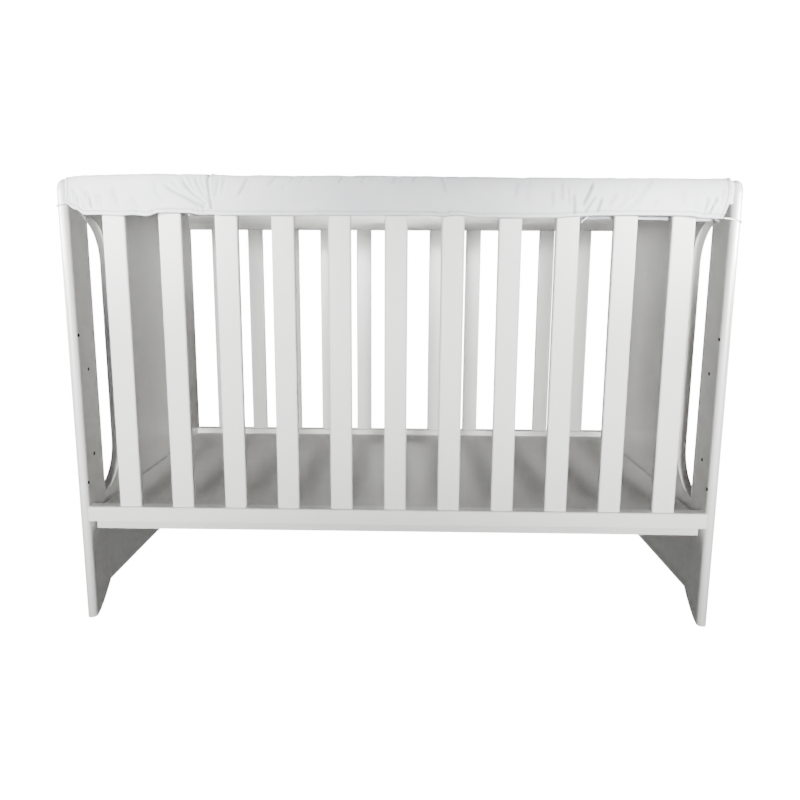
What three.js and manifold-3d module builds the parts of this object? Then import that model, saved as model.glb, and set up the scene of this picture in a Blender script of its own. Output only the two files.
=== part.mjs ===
/**
 * A crib with a cloth cover fitted over its front top rail.
 *
 * Millimetres, +Z up. The front side faces -Y, +X is on the right of someone
 * who stands in front of it, and its feet stand on Z = 0. Sub-parts are laid
 * out from the front face of the front posts, which is Y = 0 until the whole
 * crib is moved to its own centre at the end.
 */
import * as THREE from 'three';
import { ConvexGeometry } from 'three/addons/geometries/ConvexGeometry.js';
import { mergeVertices } from 'three/addons/utils/BufferGeometryUtils.js';
import Module from 'manifold-3d';

const wasm = await Module();
wasm.setup();

// Clearances
const SEAT_GAP = 0.3;

// Crib, overall
const INNER_LENGTH = 1310;
const HALF_INNER = INNER_LENGTH / 2;
const END_DEPTH = 740;
const END_HEIGHT = 933;
const BOARD = 20;
const BULLNOSE = BOARD / 2;

// End boards: a post at each edge, two tall windows and a panel between them
const POST_DEPTH = 81;
const POST_CORNER = 14;
const FOOT_LENGTH = 12;
const FOOT_RISE = 52;
const HEEL_POWER = 1.4;
const WINDOW_WIDTH = 85;
const WINDOW_TOP = 866;
const WINDOW_BOTTOM = 262;
const WINDOW_CURVE = 96;

// Long sides
const RAIL_FRONT = 3;
const RAIL_DEPTH = 24;
const TOP_RAIL_BOTTOM = 884.5;
const TOP_RAIL_JOINT = 904;
const TOP_RAIL_TOP = 930;
const TOP_RAIL_ROUND = 10;
const LOW_RAIL_DEPTH = 27;
const LOW_RAIL_BOTTOM = 222;
const LOW_RAIL_TOP = 254;
const LOW_RAIL_ROUND = 4;
const SLAT_COUNT = 11;
const SLAT_WIDTH = 46;
const SLAT_DEPTH = 15;
const SLAT_FRONT = 6;
const SLAT_ROUND = 4;

// Mattress base
const BASE_STRIP_DEPTH = 20;
const BASE_STRIP_BOTTOM = 196;
const BASE_STRIP_TOP = 226;
const BASE_SIDE_GAP = 4;
const BASE_BOARD = 12;

// Cover: one cloth folded over the rail, hemmed on every edge
const CLOTH = 3;
const COVER_LEFT = -652.5;
const COVER_RIGHT = 646;
const FRONT_LINE = -5.5;
const REAR_LINE = 32.5;
const SHOULDER_DEPTH = 13;
const SHOULDER_HEIGHT = 14;
const HEM = 7.5;
const HEM_RAISE = 0.6;
const REAR_BULGE = 1.5;

// The right edge leans in towards its lower corner over this height
const LEAN = 13;
const LEAN_FROM = 903;
const LEAN_HEIGHT = 46;
const LEAN_REACH = 60;
const LEAN_POWER = 1.6;
const LEAN_MOST = 1.1;

// Cross-sections of the cover from left to right: hem heights in front and
// at the rear, height of the top, how far the front face bulges, and how far
// the front hem sways out from the slats
const SECTIONS = [
  { x: -652.5, hem: 881.5, rear: 881.0, top: 934.0, bulge: 1.0, sway: 0.0 },
  { x: -634.0, hem: 871.0, rear: 872.0, top: 936.5, bulge: 2.5, sway: 0.5 },
  { x: -614.0, hem: 860.4, rear: 864.0, top: 937.5, bulge: 3.0, sway: 0.8 },
  { x: -585.0, hem: 860.6, rear: 864.0, top: 938.8, bulge: 3.2, sway: 0.6 },
  { x: -549.0, hem: 858.6, rear: 864.0, top: 940.2, bulge: 3.4, sway: 1.8 },
  { x: -518.0, hem: 860.4, rear: 864.0, top: 940.4, bulge: 3.4, sway: 0.2 },
  { x: -492.0, hem: 858.2, rear: 864.0, top: 940.6, bulge: 3.4, sway: 1.8 },
  { x: -466.0, hem: 864.6, rear: 864.5, top: 940.6, bulge: 3.2, sway: 0.4 },
  { x: -412.0, hem: 864.6, rear: 865.0, top: 940.5, bulge: 2.6, sway: -0.4 },
  { x: -386.0, hem: 861.0, rear: 865.0, top: 940.4, bulge: 1.8, sway: -1.4 },
  { x: -364.0, hem: 861.8, rear: 865.0, top: 940.2, bulge: 1.0, sway: -2.2 },
  { x: -346.0, hem: 860.0, rear: 865.0, top: 939.2, bulge: 1.8, sway: -0.6 },
  { x: -288.0, hem: 860.0, rear: 864.5, top: 937.8, bulge: 2.2, sway: 0.0 },
  { x: -189.0, hem: 860.0, rear: 864.0, top: 937.8, bulge: 2.0, sway: 0.0 },
  { x: -148.0, hem: 860.6, rear: 864.0, top: 938.0, bulge: 1.8, sway: -1.2 },
  { x: -91.0, hem: 860.3, rear: 864.0, top: 938.0, bulge: 2.0, sway: 0.0 },
  { x: 8.0, hem: 860.6, rear: 864.0, top: 937.8, bulge: 2.0, sway: 0.0 },
  { x: 66.0, hem: 860.0, rear: 864.0, top: 937.2, bulge: 2.0, sway: 0.0 },
  { x: 92.0, hem: 858.6, rear: 864.0, top: 936.6, bulge: 2.0, sway: -0.8 },
  { x: 117.0, hem: 861.4, rear: 864.0, top: 936.4, bulge: 2.0, sway: 0.0 },
  { x: 162.0, hem: 857.0, rear: 863.0, top: 936.0, bulge: 2.2, sway: 0.4 },
  { x: 242.0, hem: 856.8, rear: 862.0, top: 935.4, bulge: 2.2, sway: 0.4 },
  { x: 312.0, hem: 857.2, rear: 860.5, top: 934.9, bulge: 2.0, sway: 0.0 },
  { x: 345.0, hem: 859.6, rear: 859.5, top: 934.7, bulge: 1.4, sway: -1.4 },
  { x: 397.0, hem: 861.8, rear: 858.4, top: 934.4, bulge: 2.0, sway: 0.0 },
  { x: 493.0, hem: 862.2, rear: 857.2, top: 933.9, bulge: 2.2, sway: 0.0 },
  { x: 566.0, hem: 861.6, rear: 855.4, top: 933.7, bulge: 2.2, sway: 0.0 },
  { x: 594.0, hem: 857.8, rear: 853.8, top: 933.7, bulge: 2.0, sway: 0.4 },
  { x: 646.0, hem: 856.0, rear: 854.0, top: 933.8, bulge: 1.0, sway: 0.0 },
];

// Main folds of the front face, from an upper to a lower end. A trough has a
// depth above zero, and a ridge below zero.
const FOLDS = [
  { x0: -369, z0: 937, x1: -363, z1: 868, depth: 3.6, width: 5.5 },
  { x0: -352, z0: 934, x1: -353, z1: 872, depth: -1.6, width: 7.0 },
  { x0: -462, z0: 928, x1: -374, z1: 872, depth: 1.8, width: 6.0 },
  { x0: -441, z0: 932, x1: -372, z1: 875, depth: -1.2, width: 6.0 },
  { x0: -420, z0: 935, x1: -404, z1: 906, depth: 1.8, width: 5.5 },
  { x0: -404, z0: 906, x1: -371, z1: 878, depth: 1.6, width: 5.0 },
  { x0: -398, z0: 932, x1: -374, z1: 888, depth: -1.4, width: 5.0 },
  { x0: -335, z0: 932, x1: -342, z1: 904, depth: 1.2, width: 6.0 },
  { x0: -291, z0: 934, x1: -312, z1: 894, depth: 1.6, width: 8.0 },
  { x0: -236, z0: 936, x1: -250, z1: 914, depth: 1.0, width: 9.0 },
  { x0: 88, z0: 933, x1: 99, z1: 900, depth: 1.0, width: 10.0 },
  { x0: 236, z0: 924, x1: 230, z1: 892, depth: 1.0, width: 10.0 },
  { x0: 303, z0: 910, x1: 304, z1: 876, depth: 1.0, width: 6.0 },
  { x0: 320, z0: 922, x1: 322, z1: 888, depth: -1.2, width: 7.0 },
  { x0: 342, z0: 902, x1: 347, z1: 866, depth: 2.4, width: 6.0 },
  { x0: 378, z0: 921, x1: 366, z1: 890, depth: 1.8, width: 6.5 },
  { x0: 376, z0: 891, x1: 358, z1: 870, depth: -1.4, width: 6.0 },
  { x0: 392, z0: 892, x1: 372, z1: 870, depth: 1.6, width: 6.5 },
  { x0: 426, z0: 903, x1: 412, z1: 876, depth: 1.0, width: 8.0 },
  { x0: 612, z0: 888, x1: 604, z1: 868, depth: 1.0, width: 6.0 },
];

// Spacing of the cover's cross-sections, finer where it is gathered
const STEPS = [
  { to: -600, step: 10.5 },
  { to: -476, step: 15.5 },
  { to: -330, step: 6.4 },
  { to: 296, step: 31.3 },
  { to: 400, step: 7.5 },
  { to: 590, step: 27.2 },
  { to: COVER_RIGHT, step: 11.2 },
];

// Ties round the end posts
const END_TIE_RADIUS = 1.5;
const FRONT_WRAP = BULLNOSE + END_TIE_RADIUS + 0.4;
const SIDE_WRAP = BULLNOSE + END_TIE_RADIUS + 1;
const CORNER_INSET = 0.5;
const TIE_LEAD = 2.4;
const INSIDE_REACH = 8;

// Short ties under the rail: the knot's place, and the route of the free end
// as offsets from the knot's centre
const RAIL_TIE_RADIUS = 1.2;
const TIE_LINE = 13.5;
const KNOT_RADIUS = 3.2;
const KNOT_HALF = 5;
const KNOT_SHOULDER = { radius: 0.85, height: 0.6 };
const RAIL_TIES = [
  {
    name: 'left', x: -150, z: 867.5,
    route: [
      [3.5, -2.3, -1.0], [5.0, -2.45, -1.4], [6.5, -2.5, -1.9], [9.0, -3.2, -2.8], [10.8, -5.0, -4.0],
      [11.5, -7.5, -5.4], [10.8, -10.0, -6.7], [9.0, -11.8, -7.6], [6.5, -12.5, -8.0], [4.2, -12.5, -8.1],
      [1.8, -12.4, -7.9], [-0.4, -12.2, -7.4], [-2.4, -12.0, -6.8], [-3.8, -11.9, -6.4], [-5.2, -11.8, -6.1],
    ],
  },
  {
    name: 'middle', x: 84, z: 866.5,
    route: [
      [0.4, 7.4, -4.1], [0.2, 4.6, -4.6], [0.1, 2.0, -5.0], [0.0, 0.0, -5.2], [-0.1, -2.0, -5.5],
      [-0.3, -4.0, -5.9], [-0.8, -6.0, -6.5], [-1.8, -7.8, -7.3], [-3.2, -9.2, -8.3], [-5.0, -10.2, -9.4],
      [-6.9, -10.9, -10.5], [-8.7, -11.3, -11.6], [-10.4, -11.5, -12.7], [-11.9, -11.6, -13.7],
      [-13.2, -11.6, -14.5],
    ],
  },
  {
    name: 'right', x: 366.5, z: 867.5,
    route: [
      [3.5, -0.5, 0.2], [5.2, -1.2, 0.1], [6.9, -2.0, -0.5], [8.4, -2.8, -1.7], [9.4, -3.6, -3.3],
      [9.7, -4.4, -5.1], [9.3, -5.2, -6.9], [8.3, -6.0, -8.5], [6.9, -6.8, -9.9], [5.3, -7.6, -11.1],
      [3.6, -8.4, -12.3], [1.9, -9.1, -13.5], [0.2, -9.7, -14.8], [-1.5, -10.2, -16.3], [-3.3, -10.6, -18.1],
    ],
  },
];
const TIE_SIDES = 8;
const TIE_STEP = 2.6;

// Finishes
const PAINT = { color: 0xf1f1ef, roughness: 0.42, metalness: 0 };
const BASE_PAINT = { color: 0xe6e6e3, roughness: 0.5, metalness: 0 };
const COTTON = { color: 0xf0f1f4, roughness: 0.95, metalness: 0 };
const TAPE = { color: 0xf4f4f2, roughness: 0.9, metalness: 0 };

const crib = new THREE.Group();

/** Adds one named sub-part to the crib. */
function addPart(name, geometry, finish, position = [0, 0, 0]) {
  const mesh = new THREE.Mesh(geometry, new THREE.MeshStandardMaterial(finish));
  mesh.name = name;
  mesh.position.set(...position);
  crib.add(mesh);
  return mesh;
}

/** Smooth step from 0 to 1 as value goes from low to high. */
function ease(low, high, value) {
  return THREE.MathUtils.smoothstep(value, low, high);
}

/** Rectangle from (0, 0) to (width, height) with a radius for each corner. */
function roundedRectangle(width, height, { lowLeft, lowRight, topRight, topLeft }) {
  const shape = new THREE.Shape();
  const turn = Math.PI / 2;
  const corner = (x, y, radius, start) => {
    if (radius === 0) {
      shape.lineTo(x, y);
    } else {
      shape.absarc(x, y, radius, start, start + turn, false);
    }
  };
  shape.moveTo(lowLeft, 0);
  corner(width - lowRight, lowRight, lowRight, -turn);
  corner(width - topRight, height - topRight, topRight, 0);
  corner(topLeft, height - topLeft, topLeft, turn);
  corner(lowLeft, lowLeft, lowLeft, 2 * turn);
  return shape;
}

/** Turns a shape drawn in (Y, Z) and extruded along Z to run along X. */
function alongX(geometry) {
  const turn = new THREE.Matrix4().makeBasis(
    new THREE.Vector3(0, 1, 0), new THREE.Vector3(0, 0, 1), new THREE.Vector3(1, 0, 0));
  return geometry.applyMatrix4(turn);
}

/** A bar along X with a (depth, height) section, centred on X = 0. */
function barAlongX(section, length) {
  const bar = new THREE.ExtrudeGeometry(section, { depth: length, bevelEnabled: false, curveSegments: 4 });
  return alongX(bar).translate(-length / 2, 0, 0);
}

/** Gives a closed mesh to the solid library, with shared vertices merged. */
function toSolid(geometry) {
  const bare = geometry.clone();
  bare.deleteAttribute('normal');
  bare.deleteAttribute('uv');
  const merged = mergeVertices(bare, 1e-4);
  return new wasm.Manifold(new wasm.Mesh({
    numProp: 3,
    vertProperties: merged.attributes.position.array,
    triVerts: new Uint32Array(merged.index.array),
  }));
}

/** Joins two closed meshes into one. */
function joined(first, second) {
  const mesh = toSolid(first).add(toSolid(second)).getMesh();
  const geometry = new THREE.BufferGeometry();
  geometry.setAttribute('position', new THREE.BufferAttribute(mesh.vertProperties, 3));
  geometry.setIndex(new THREE.BufferAttribute(mesh.triVerts, 1));
  geometry.computeVertexNormals();
  return geometry;
}

/** A front post: a board on edge with a bullnose front, top and corner. */
function postGeometry() {
  const route = [{ y: BULLNOSE, z: 0, out: [-1, 0] }];
  const centre = { y: BULLNOSE + POST_CORNER, z: END_HEIGHT - BULLNOSE - POST_CORNER };
  const turns = 5;
  for (let i = 0; i <= turns; i += 1) {
    const angle = (i / turns) * (Math.PI / 2);
    const out = [-Math.cos(angle), Math.sin(angle)];
    route.push({ y: centre.y + POST_CORNER * out[0], z: centre.z + POST_CORNER * out[1], out });
  }
  route.push({ y: POST_DEPTH, z: END_HEIGHT - BULLNOSE, out: [0, 1] });

  const points = [];
  const rounds = 8;
  for (const { y, z, out } of route) {
    for (let i = 0; i <= rounds; i += 1) {
      const angle = (i / rounds - 0.5) * Math.PI;
      const reach = BULLNOSE * Math.cos(angle);
      points.push(new THREE.Vector3(BULLNOSE * Math.sin(angle), y + reach * out[0], z + reach * out[1]));
    }
  }
  const heelSteps = 5;
  for (let i = 0; i <= heelSteps; i += 1) {
    const part = i / heelSteps;
    const y = FOOT_LENGTH + (POST_DEPTH - FOOT_LENGTH) * part;
    const z = FOOT_RISE * part ** HEEL_POWER;
    points.push(new THREE.Vector3(-BULLNOSE, y, z), new THREE.Vector3(BULLNOSE, y, z));
  }
  return new ConvexGeometry(points);
}

/** The middle of an end board: a panel with its bridges above and below the windows. */
function panelGeometry() {
  const near = POST_DEPTH + SEAT_GAP;
  const far = END_DEPTH - near;
  const inner = POST_DEPTH + WINDOW_WIDTH;
  const outer = END_DEPTH - inner;
  const top = END_HEIGHT - BULLNOSE;
  const across = WINDOW_WIDTH - SEAT_GAP;
  const quarter = Math.PI / 2;

  const outline = new THREE.Shape();
  outline.moveTo(near, FOOT_RISE);
  outline.lineTo(far, FOOT_RISE);
  outline.lineTo(far, WINDOW_BOTTOM);
  outline.absellipse(far, WINDOW_BOTTOM + WINDOW_CURVE, across, WINDOW_CURVE, -quarter, -2 * quarter, true);
  outline.lineTo(outer, WINDOW_TOP - WINDOW_CURVE);
  outline.absellipse(far, WINDOW_TOP - WINDOW_CURVE, across, WINDOW_CURVE, 2 * quarter, quarter, true);
  outline.lineTo(far, top);
  outline.lineTo(near, top);
  outline.lineTo(near, WINDOW_TOP);
  outline.absellipse(near, WINDOW_TOP - WINDOW_CURVE, across, WINDOW_CURVE, quarter, 0, true);
  outline.lineTo(inner, WINDOW_BOTTOM + WINDOW_CURVE);
  outline.absellipse(near, WINDOW_BOTTOM + WINDOW_CURVE, across, WINDOW_CURVE, 0, -quarter, true);
  outline.lineTo(near, FOOT_RISE);

  const board = new THREE.ExtrudeGeometry(outline, { depth: BOARD, bevelEnabled: false, curveSegments: 8 });
  alongX(board).translate(-BULLNOSE, 0, 0);

  const sunk = 5;
  const nose = new THREE.Shape();
  nose.moveTo(-BULLNOSE, -sunk);
  nose.lineTo(BULLNOSE, -sunk);
  nose.absarc(0, 0, BULLNOSE, 0, Math.PI, false);
  nose.lineTo(-BULLNOSE, -sunk);
  const edge = new THREE.ExtrudeGeometry(nose, { depth: far - near, bevelEnabled: false, curveSegments: 8 });
  edge.applyMatrix4(new THREE.Matrix4().makeBasis(
    new THREE.Vector3(1, 0, 0), new THREE.Vector3(0, 0, 1), new THREE.Vector3(0, -1, 0)));
  edge.translate(0, far, top);
  return joined(board, edge);
}

/** Both end boards, each a front post, a panel and a back post. */
function addEnds() {
  for (const [side, x] of [['left', -HALF_INNER - BULLNOSE], ['right', HALF_INNER + BULLNOSE]]) {
    addPart(`front_post_${side}`, postGeometry(), PAINT, [x, 0, 0]);
    addPart(`end_panel_${side}`, panelGeometry(), PAINT, [x, 0, 0]);
    const back = addPart(`back_post_${side}`, postGeometry(), PAINT, [x, END_DEPTH, 0]);
    back.rotation.z = Math.PI;
  }
}

/** One long side: two-part top rail, bottom rail and slats, mirrored for the back. */
function addLongSide(side) {
  const place = (front, depth) => (side === 'front' ? front : END_DEPTH - front - depth);
  const length = INNER_LENGTH - 2 * SEAT_GAP;

  const lower = roundedRectangle(RAIL_DEPTH, TOP_RAIL_JOINT - TOP_RAIL_BOTTOM,
    { lowLeft: 3, lowRight: 3, topRight: 0, topLeft: 0 });
  addPart(`${side}_top_rail`, barAlongX(lower, length), PAINT,
    [0, place(RAIL_FRONT, RAIL_DEPTH), TOP_RAIL_BOTTOM]);

  const capBottom = TOP_RAIL_JOINT + SEAT_GAP;
  const cap = roundedRectangle(RAIL_DEPTH, TOP_RAIL_TOP - capBottom,
    { lowLeft: 0, lowRight: 0, topRight: TOP_RAIL_ROUND, topLeft: TOP_RAIL_ROUND });
  addPart(`${side}_top_rail_cap`, barAlongX(cap, length), PAINT,
    [0, place(RAIL_FRONT, RAIL_DEPTH), capBottom]);

  const low = roundedRectangle(LOW_RAIL_DEPTH, LOW_RAIL_TOP - LOW_RAIL_BOTTOM,
    { lowLeft: 1, lowRight: 1, topRight: LOW_RAIL_ROUND, topLeft: LOW_RAIL_ROUND });
  addPart(`${side}_bottom_rail`, barAlongX(low, length), PAINT,
    [0, place(0, LOW_RAIL_DEPTH), LOW_RAIL_BOTTOM]);

  const gap = (INNER_LENGTH - SLAT_COUNT * SLAT_WIDTH) / (SLAT_COUNT + 1);
  const height = TOP_RAIL_BOTTOM - LOW_RAIL_TOP - 2 * SEAT_GAP;
  const corners = { lowLeft: SLAT_ROUND, lowRight: SLAT_ROUND, topRight: SLAT_ROUND, topLeft: SLAT_ROUND };
  for (let i = 0; i < SLAT_COUNT; i += 1) {
    const x = -HALF_INNER + gap + i * (gap + SLAT_WIDTH);
    const section = roundedRectangle(SLAT_WIDTH, SLAT_DEPTH, corners);
    const slat = new THREE.ExtrudeGeometry(section, { depth: height, bevelEnabled: false, curveSegments: 2 });
    addPart(`${side}_slat_${i + 1}`, slat, PAINT,
      [x, place(SLAT_FRONT, SLAT_DEPTH), LOW_RAIL_TOP + SEAT_GAP]);
  }
}

/** The plain mattress base: a strip behind each bottom rail and a board on both. */
function addBase() {
  const length = INNER_LENGTH - 2 * BASE_SIDE_GAP;
  const near = LOW_RAIL_DEPTH + SEAT_GAP;
  const height = BASE_STRIP_TOP - BASE_STRIP_BOTTOM;
  const middle = BASE_STRIP_BOTTOM + height / 2;
  for (const [side, y] of [['front', near], ['back', END_DEPTH - near - BASE_STRIP_DEPTH]]) {
    const strip = new THREE.BoxGeometry(length, BASE_STRIP_DEPTH, height);
    addPart(`base_strip_${side}`, strip, BASE_PAINT, [0, y + BASE_STRIP_DEPTH / 2, middle]);
  }
  const board = new THREE.BoxGeometry(length, END_DEPTH - 2 * near, BASE_BOARD);
  addPart('base_board', board, BASE_PAINT, [0, END_DEPTH / 2, BASE_STRIP_TOP + SEAT_GAP + BASE_BOARD / 2]);
}

/** The cover's section values at x, eased between the rows of SECTIONS. */
function sectionAt(x) {
  const last = SECTIONS.length - 1;
  let i = 0;
  while (i < last - 1 && SECTIONS[i + 1].x < x) {
    i += 1;
  }
  const low = SECTIONS[i];
  const high = SECTIONS[i + 1];
  const part = ease(low.x, high.x, x);
  const mix = (key) => THREE.MathUtils.lerp(low[key], high[key], part);
  return { hem: mix('hem'), rear: mix('rear'), top: mix('top'), bulge: mix('bulge'), sway: mix('sway') };
}

/** Depth of all folds at a point of the front face. */
function foldDepth(x, z) {
  let depth = 0;
  for (const fold of FOLDS) {
    const runX = fold.x1 - fold.x0;
    const runZ = fold.z1 - fold.z0;
    const along = ((x - fold.x0) * runX + (z - fold.z0) * runZ) / (runX * runX + runZ * runZ);
    const part = THREE.MathUtils.clamp(along, 0, 1);
    const away = Math.hypot(x - fold.x0 - part * runX, z - fold.z0 - part * runZ);
    depth += fold.depth * Math.exp(-((away / fold.width) ** 2));
  }
  return depth;
}

/** Outer face of the front flap: its Y at (x, z). */
function frontFaceY(x, z) {
  const { hem, top, bulge, sway } = sectionAt(x);
  const rise = THREE.MathUtils.clamp((z - hem) / (top - SHOULDER_HEIGHT - hem), 0, 1);
  const belly = bulge * Math.sin(Math.PI * rise);
  return FRONT_LINE - belly - sway * (1 - rise) ** 2 + foldDepth(x, z);
}

/** Outer face of the rear flap: its Y at (x, z). */
function rearFaceY(x, z) {
  const { rear, top } = sectionAt(x);
  const rise = THREE.MathUtils.clamp((z - rear) / (top - SHOULDER_HEIGHT - rear), 0, 1);
  return REAR_LINE + REAR_BULGE * Math.sin(Math.PI * rise);
}

/**
 * One cross-section of the cover, from the front hem over the rail to the
 * rear hem, as outer points with the direction that faces out.
 */
function coverRow(x) {
  const { hem, rear, top } = sectionAt(x);
  const shoulder = top - SHOULDER_HEIGHT;
  const row = [];
  const flapRise = (low, part) => low + HEM + 2 + part * (shoulder - low - HEM - 2);

  row.push({ y: frontFaceY(x, hem) - HEM_RAISE, z: hem, out: [-1, 0] });
  row.push({ y: frontFaceY(x, hem + HEM) - HEM_RAISE, z: hem + HEM, out: [-1, 0] });
  const frontSteps = 6;
  for (let i = 0; i <= frontSteps; i += 1) {
    const z = flapRise(hem, i / frontSteps);
    row.push({ y: frontFaceY(x, z), z, out: [-1, 0] });
  }

  const turns = 3;
  const frontCentre = FRONT_LINE + SHOULDER_DEPTH;
  const rearCentre = REAR_LINE - SHOULDER_DEPTH;
  const shoulderFold = foldDepth(x, shoulder);
  for (let i = 1; i <= turns; i += 1) {
    const angle = (i / turns) * (Math.PI / 2);
    const out = [-Math.cos(angle), Math.sin(angle)];
    const sink = shoulderFold * (1 - i / turns);
    row.push({
      y: frontCentre + SHOULDER_DEPTH * out[0] - sink * out[0],
      z: shoulder + SHOULDER_HEIGHT * out[1] - sink * out[1],
      out,
    });
  }
  for (let i = 0; i <= turns; i += 1) {
    const angle = (1 - i / turns) * (Math.PI / 2);
    const out = [Math.cos(angle), Math.sin(angle)];
    row.push({ y: rearCentre + SHOULDER_DEPTH * out[0], z: shoulder + SHOULDER_HEIGHT * out[1], out });
  }

  const rearSteps = 3;
  for (let i = 1; i <= rearSteps; i += 1) {
    const z = flapRise(rear, 1 - i / rearSteps);
    row.push({ y: rearFaceY(x, z), z, out: [1, 0] });
  }
  row.push({ y: rearFaceY(x, rear), z: rear, out: [1, 0] });
  return row;
}

/** How far a point is drawn to the left near the cover's right edge. */
function leanAt(x, z) {
  const near = ease(COVER_RIGHT - LEAN_REACH, COVER_RIGHT, x);
  const low = THREE.MathUtils.clamp((LEAN_FROM - z) / LEAN_HEIGHT, 0, LEAN_MOST);
  return LEAN * near * low ** LEAN_POWER;
}

/** Places of the cover's cross-sections along X. */
function columnPlaces() {
  const places = [COVER_LEFT];
  for (const { to, step } of STEPS) {
    const from = places[places.length - 1];
    const count = Math.max(1, Math.round((to - from) / step));
    for (let i = 1; i <= count; i += 1) {
      places.push(from + ((to - from) * i) / count);
    }
  }
  return places;
}

/** The cover: a closed skin of cloth thickness swept from end to end. */
function coverGeometry() {
  const positions = [];
  const rings = [];
  for (const x of columnPlaces()) {
    const row = coverRow(x);
    const outer = row.map(({ y, z }) => [x - leanAt(x, z), y, z]);
    const inner = row.map(({ y, z, out }) => [x - leanAt(x, z), y - CLOTH * out[0], z - CLOTH * out[1]]);
    const ring = [...outer, ...inner.reverse()].map((point) => {
      positions.push(...point);
      return positions.length / 3 - 1;
    });
    rings.push(ring);
  }

  const faces = [];
  const quad = (a, b, c, d) => faces.push(a, b, c, a, c, d);
  const count = rings[0].length;
  for (let c = 0; c < rings.length - 1; c += 1) {
    const left = rings[c];
    const right = rings[c + 1];
    for (let k = 0; k < count; k += 1) {
      const next = (k + 1) % count;
      quad(left[k], right[k], right[next], left[next]);
    }
  }
  const first = rings[0];
  const last = rings[rings.length - 1];
  for (let k = 0; k < count / 2 - 1; k += 1) {
    const across = count - 1 - k;
    quad(first[k], first[k + 1], first[across - 1], first[across]);
    quad(last[k], last[across], last[across - 1], last[k + 1]);
  }

  const geometry = new THREE.BufferGeometry();
  geometry.setAttribute('position', new THREE.Float32BufferAttribute(positions, 3));
  geometry.setIndex(faces);
  geometry.computeVertexNormals();
  return geometry;
}

/** A round cord of this radius along a list of points. */
function cordGeometry(points, radius) {
  const path = new THREE.CatmullRomCurve3(points.map((point) => new THREE.Vector3(...point)), false, 'centripetal');
  const section = new THREE.Shape();
  for (let i = 0; i < TIE_SIDES; i += 1) {
    const angle = (i / TIE_SIDES) * 2 * Math.PI;
    const place = [radius * Math.cos(angle), radius * Math.sin(angle)];
    if (i === 0) {
      section.moveTo(...place);
    } else {
      section.lineTo(...place);
    }
  }
  section.closePath();
  const steps = Math.round(path.getLength() / TIE_STEP);
  return new THREE.ExtrudeGeometry(section, { steps, extrudePath: path, bevelEnabled: false });
}

/**
 * Route of an end tie: from the front corner across the post's rounded front,
 * back along its outer side, through the window and up to the rear corner.
 */
function endTiePoints(side, { start, crossing, back, finish }) {
  const middle = HALF_INNER + BULLNOSE;
  const points = [start, [start[0] + side * TIE_LEAD, start[1], start[2]]];
  const turns = 5;
  for (let i = 0; i <= turns; i += 1) {
    const angle = THREE.MathUtils.degToRad((90 * i) / turns);
    const z = THREE.MathUtils.lerp(crossing.from, crossing.to, i / turns);
    points.push([side * (middle + FRONT_WRAP * Math.sin(angle)), BULLNOSE - FRONT_WRAP * Math.cos(angle), z]);
  }
  points.push([side * (middle + SIDE_WRAP), POST_DEPTH / 2, (crossing.to + back) / 2]);
  points.push([side * (middle + SIDE_WRAP), POST_DEPTH - 6, back]);
  const turn = SIDE_WRAP - BULLNOSE + CORNER_INSET;
  for (const [corner, first] of [[1, 0], [-1, 90]]) {
    const centre = middle + corner * (BULLNOSE - CORNER_INSET);
    for (const degrees of [0, 30, 60, 90]) {
      const angle = THREE.MathUtils.degToRad(first + degrees);
      const x = centre + turn * Math.cos(angle);
      points.push([side * x, POST_DEPTH - CORNER_INSET + turn * Math.sin(angle), back]);
    }
  }
  const inside = side * (middle - SIDE_WRAP);
  const from = POST_DEPTH - INSIDE_REACH;
  for (const [part, turned] of [[0, 0], [0.25, 0], [0.5, 0.02], [0.72, 0.12], [0.88, 0.42], [1, 1]]) {
    const x = THREE.MathUtils.lerp(inside, finish[0], turned);
    points.push([x, THREE.MathUtils.lerp(from, finish[1], part), THREE.MathUtils.lerp(back, finish[2], part)]);
  }
  return points;
}

/** A tie round each front post that keeps the cover from sliding along the rail. */
function addEndTies() {
  const left = { start: [COVER_LEFT - 1.1 * SEAT_GAP, -4.2, 883.4], crossing: { from: 880, to: 878.5 }, back: 858 };
  left.finish = [-650.6, REAR_LINE + 2.6, 883.5];
  addPart('end_tie_left', cordGeometry(endTiePoints(-1, left), END_TIE_RADIUS), TAPE);

  const right = { start: [637.2, -4.2, 857.6], crossing: { from: 853.4, to: 850.8 }, back: 850.5 };
  right.finish = [638, REAR_LINE + 2.6, 858];
  addPart('end_tie_right', cordGeometry(endTiePoints(1, right), END_TIE_RADIUS), TAPE);
}

/** The short ties that close the cover under the rail, with their free ends. */
function addRailTies() {
  for (const { name, x, z, route } of RAIL_TIES) {
    const front = frontFaceY(x, z) + CLOTH + SEAT_GAP - TIE_LINE;
    const rear = rearFaceY(x, z) - CLOTH - SEAT_GAP - TIE_LINE;
    const neck = KNOT_RADIUS * KNOT_SHOULDER.radius;
    const waist = KNOT_HALF * KNOT_SHOULDER.height;
    const profile = [
      [0, front], [RAIL_TIE_RADIUS, front], [RAIL_TIE_RADIUS, -KNOT_HALF], [neck, -waist], [KNOT_RADIUS, 0],
      [neck, waist], [RAIL_TIE_RADIUS, KNOT_HALF], [RAIL_TIE_RADIUS, rear], [0, rear],
    ].map(([radius, height]) => new THREE.Vector2(radius, height));
    addPart(`rail_tie_${name}`, new THREE.LatheGeometry(profile, 10), TAPE, [x, TIE_LINE, z]);
    addPart(`rail_tie_end_${name}`, cordGeometry(route, RAIL_TIE_RADIUS), TAPE, [x, TIE_LINE, z]);
  }
}

/** Moves the whole crib so that its box is centred on X = 0, Y = 0 and stands on Z = 0. */
function centreOnFloor() {
  crib.updateMatrixWorld(true);
  const centre = new THREE.Box3().setFromObject(crib, true).getCenter(new THREE.Vector3());
  crib.position.set(-centre.x, -centre.y, 0);
}

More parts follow.
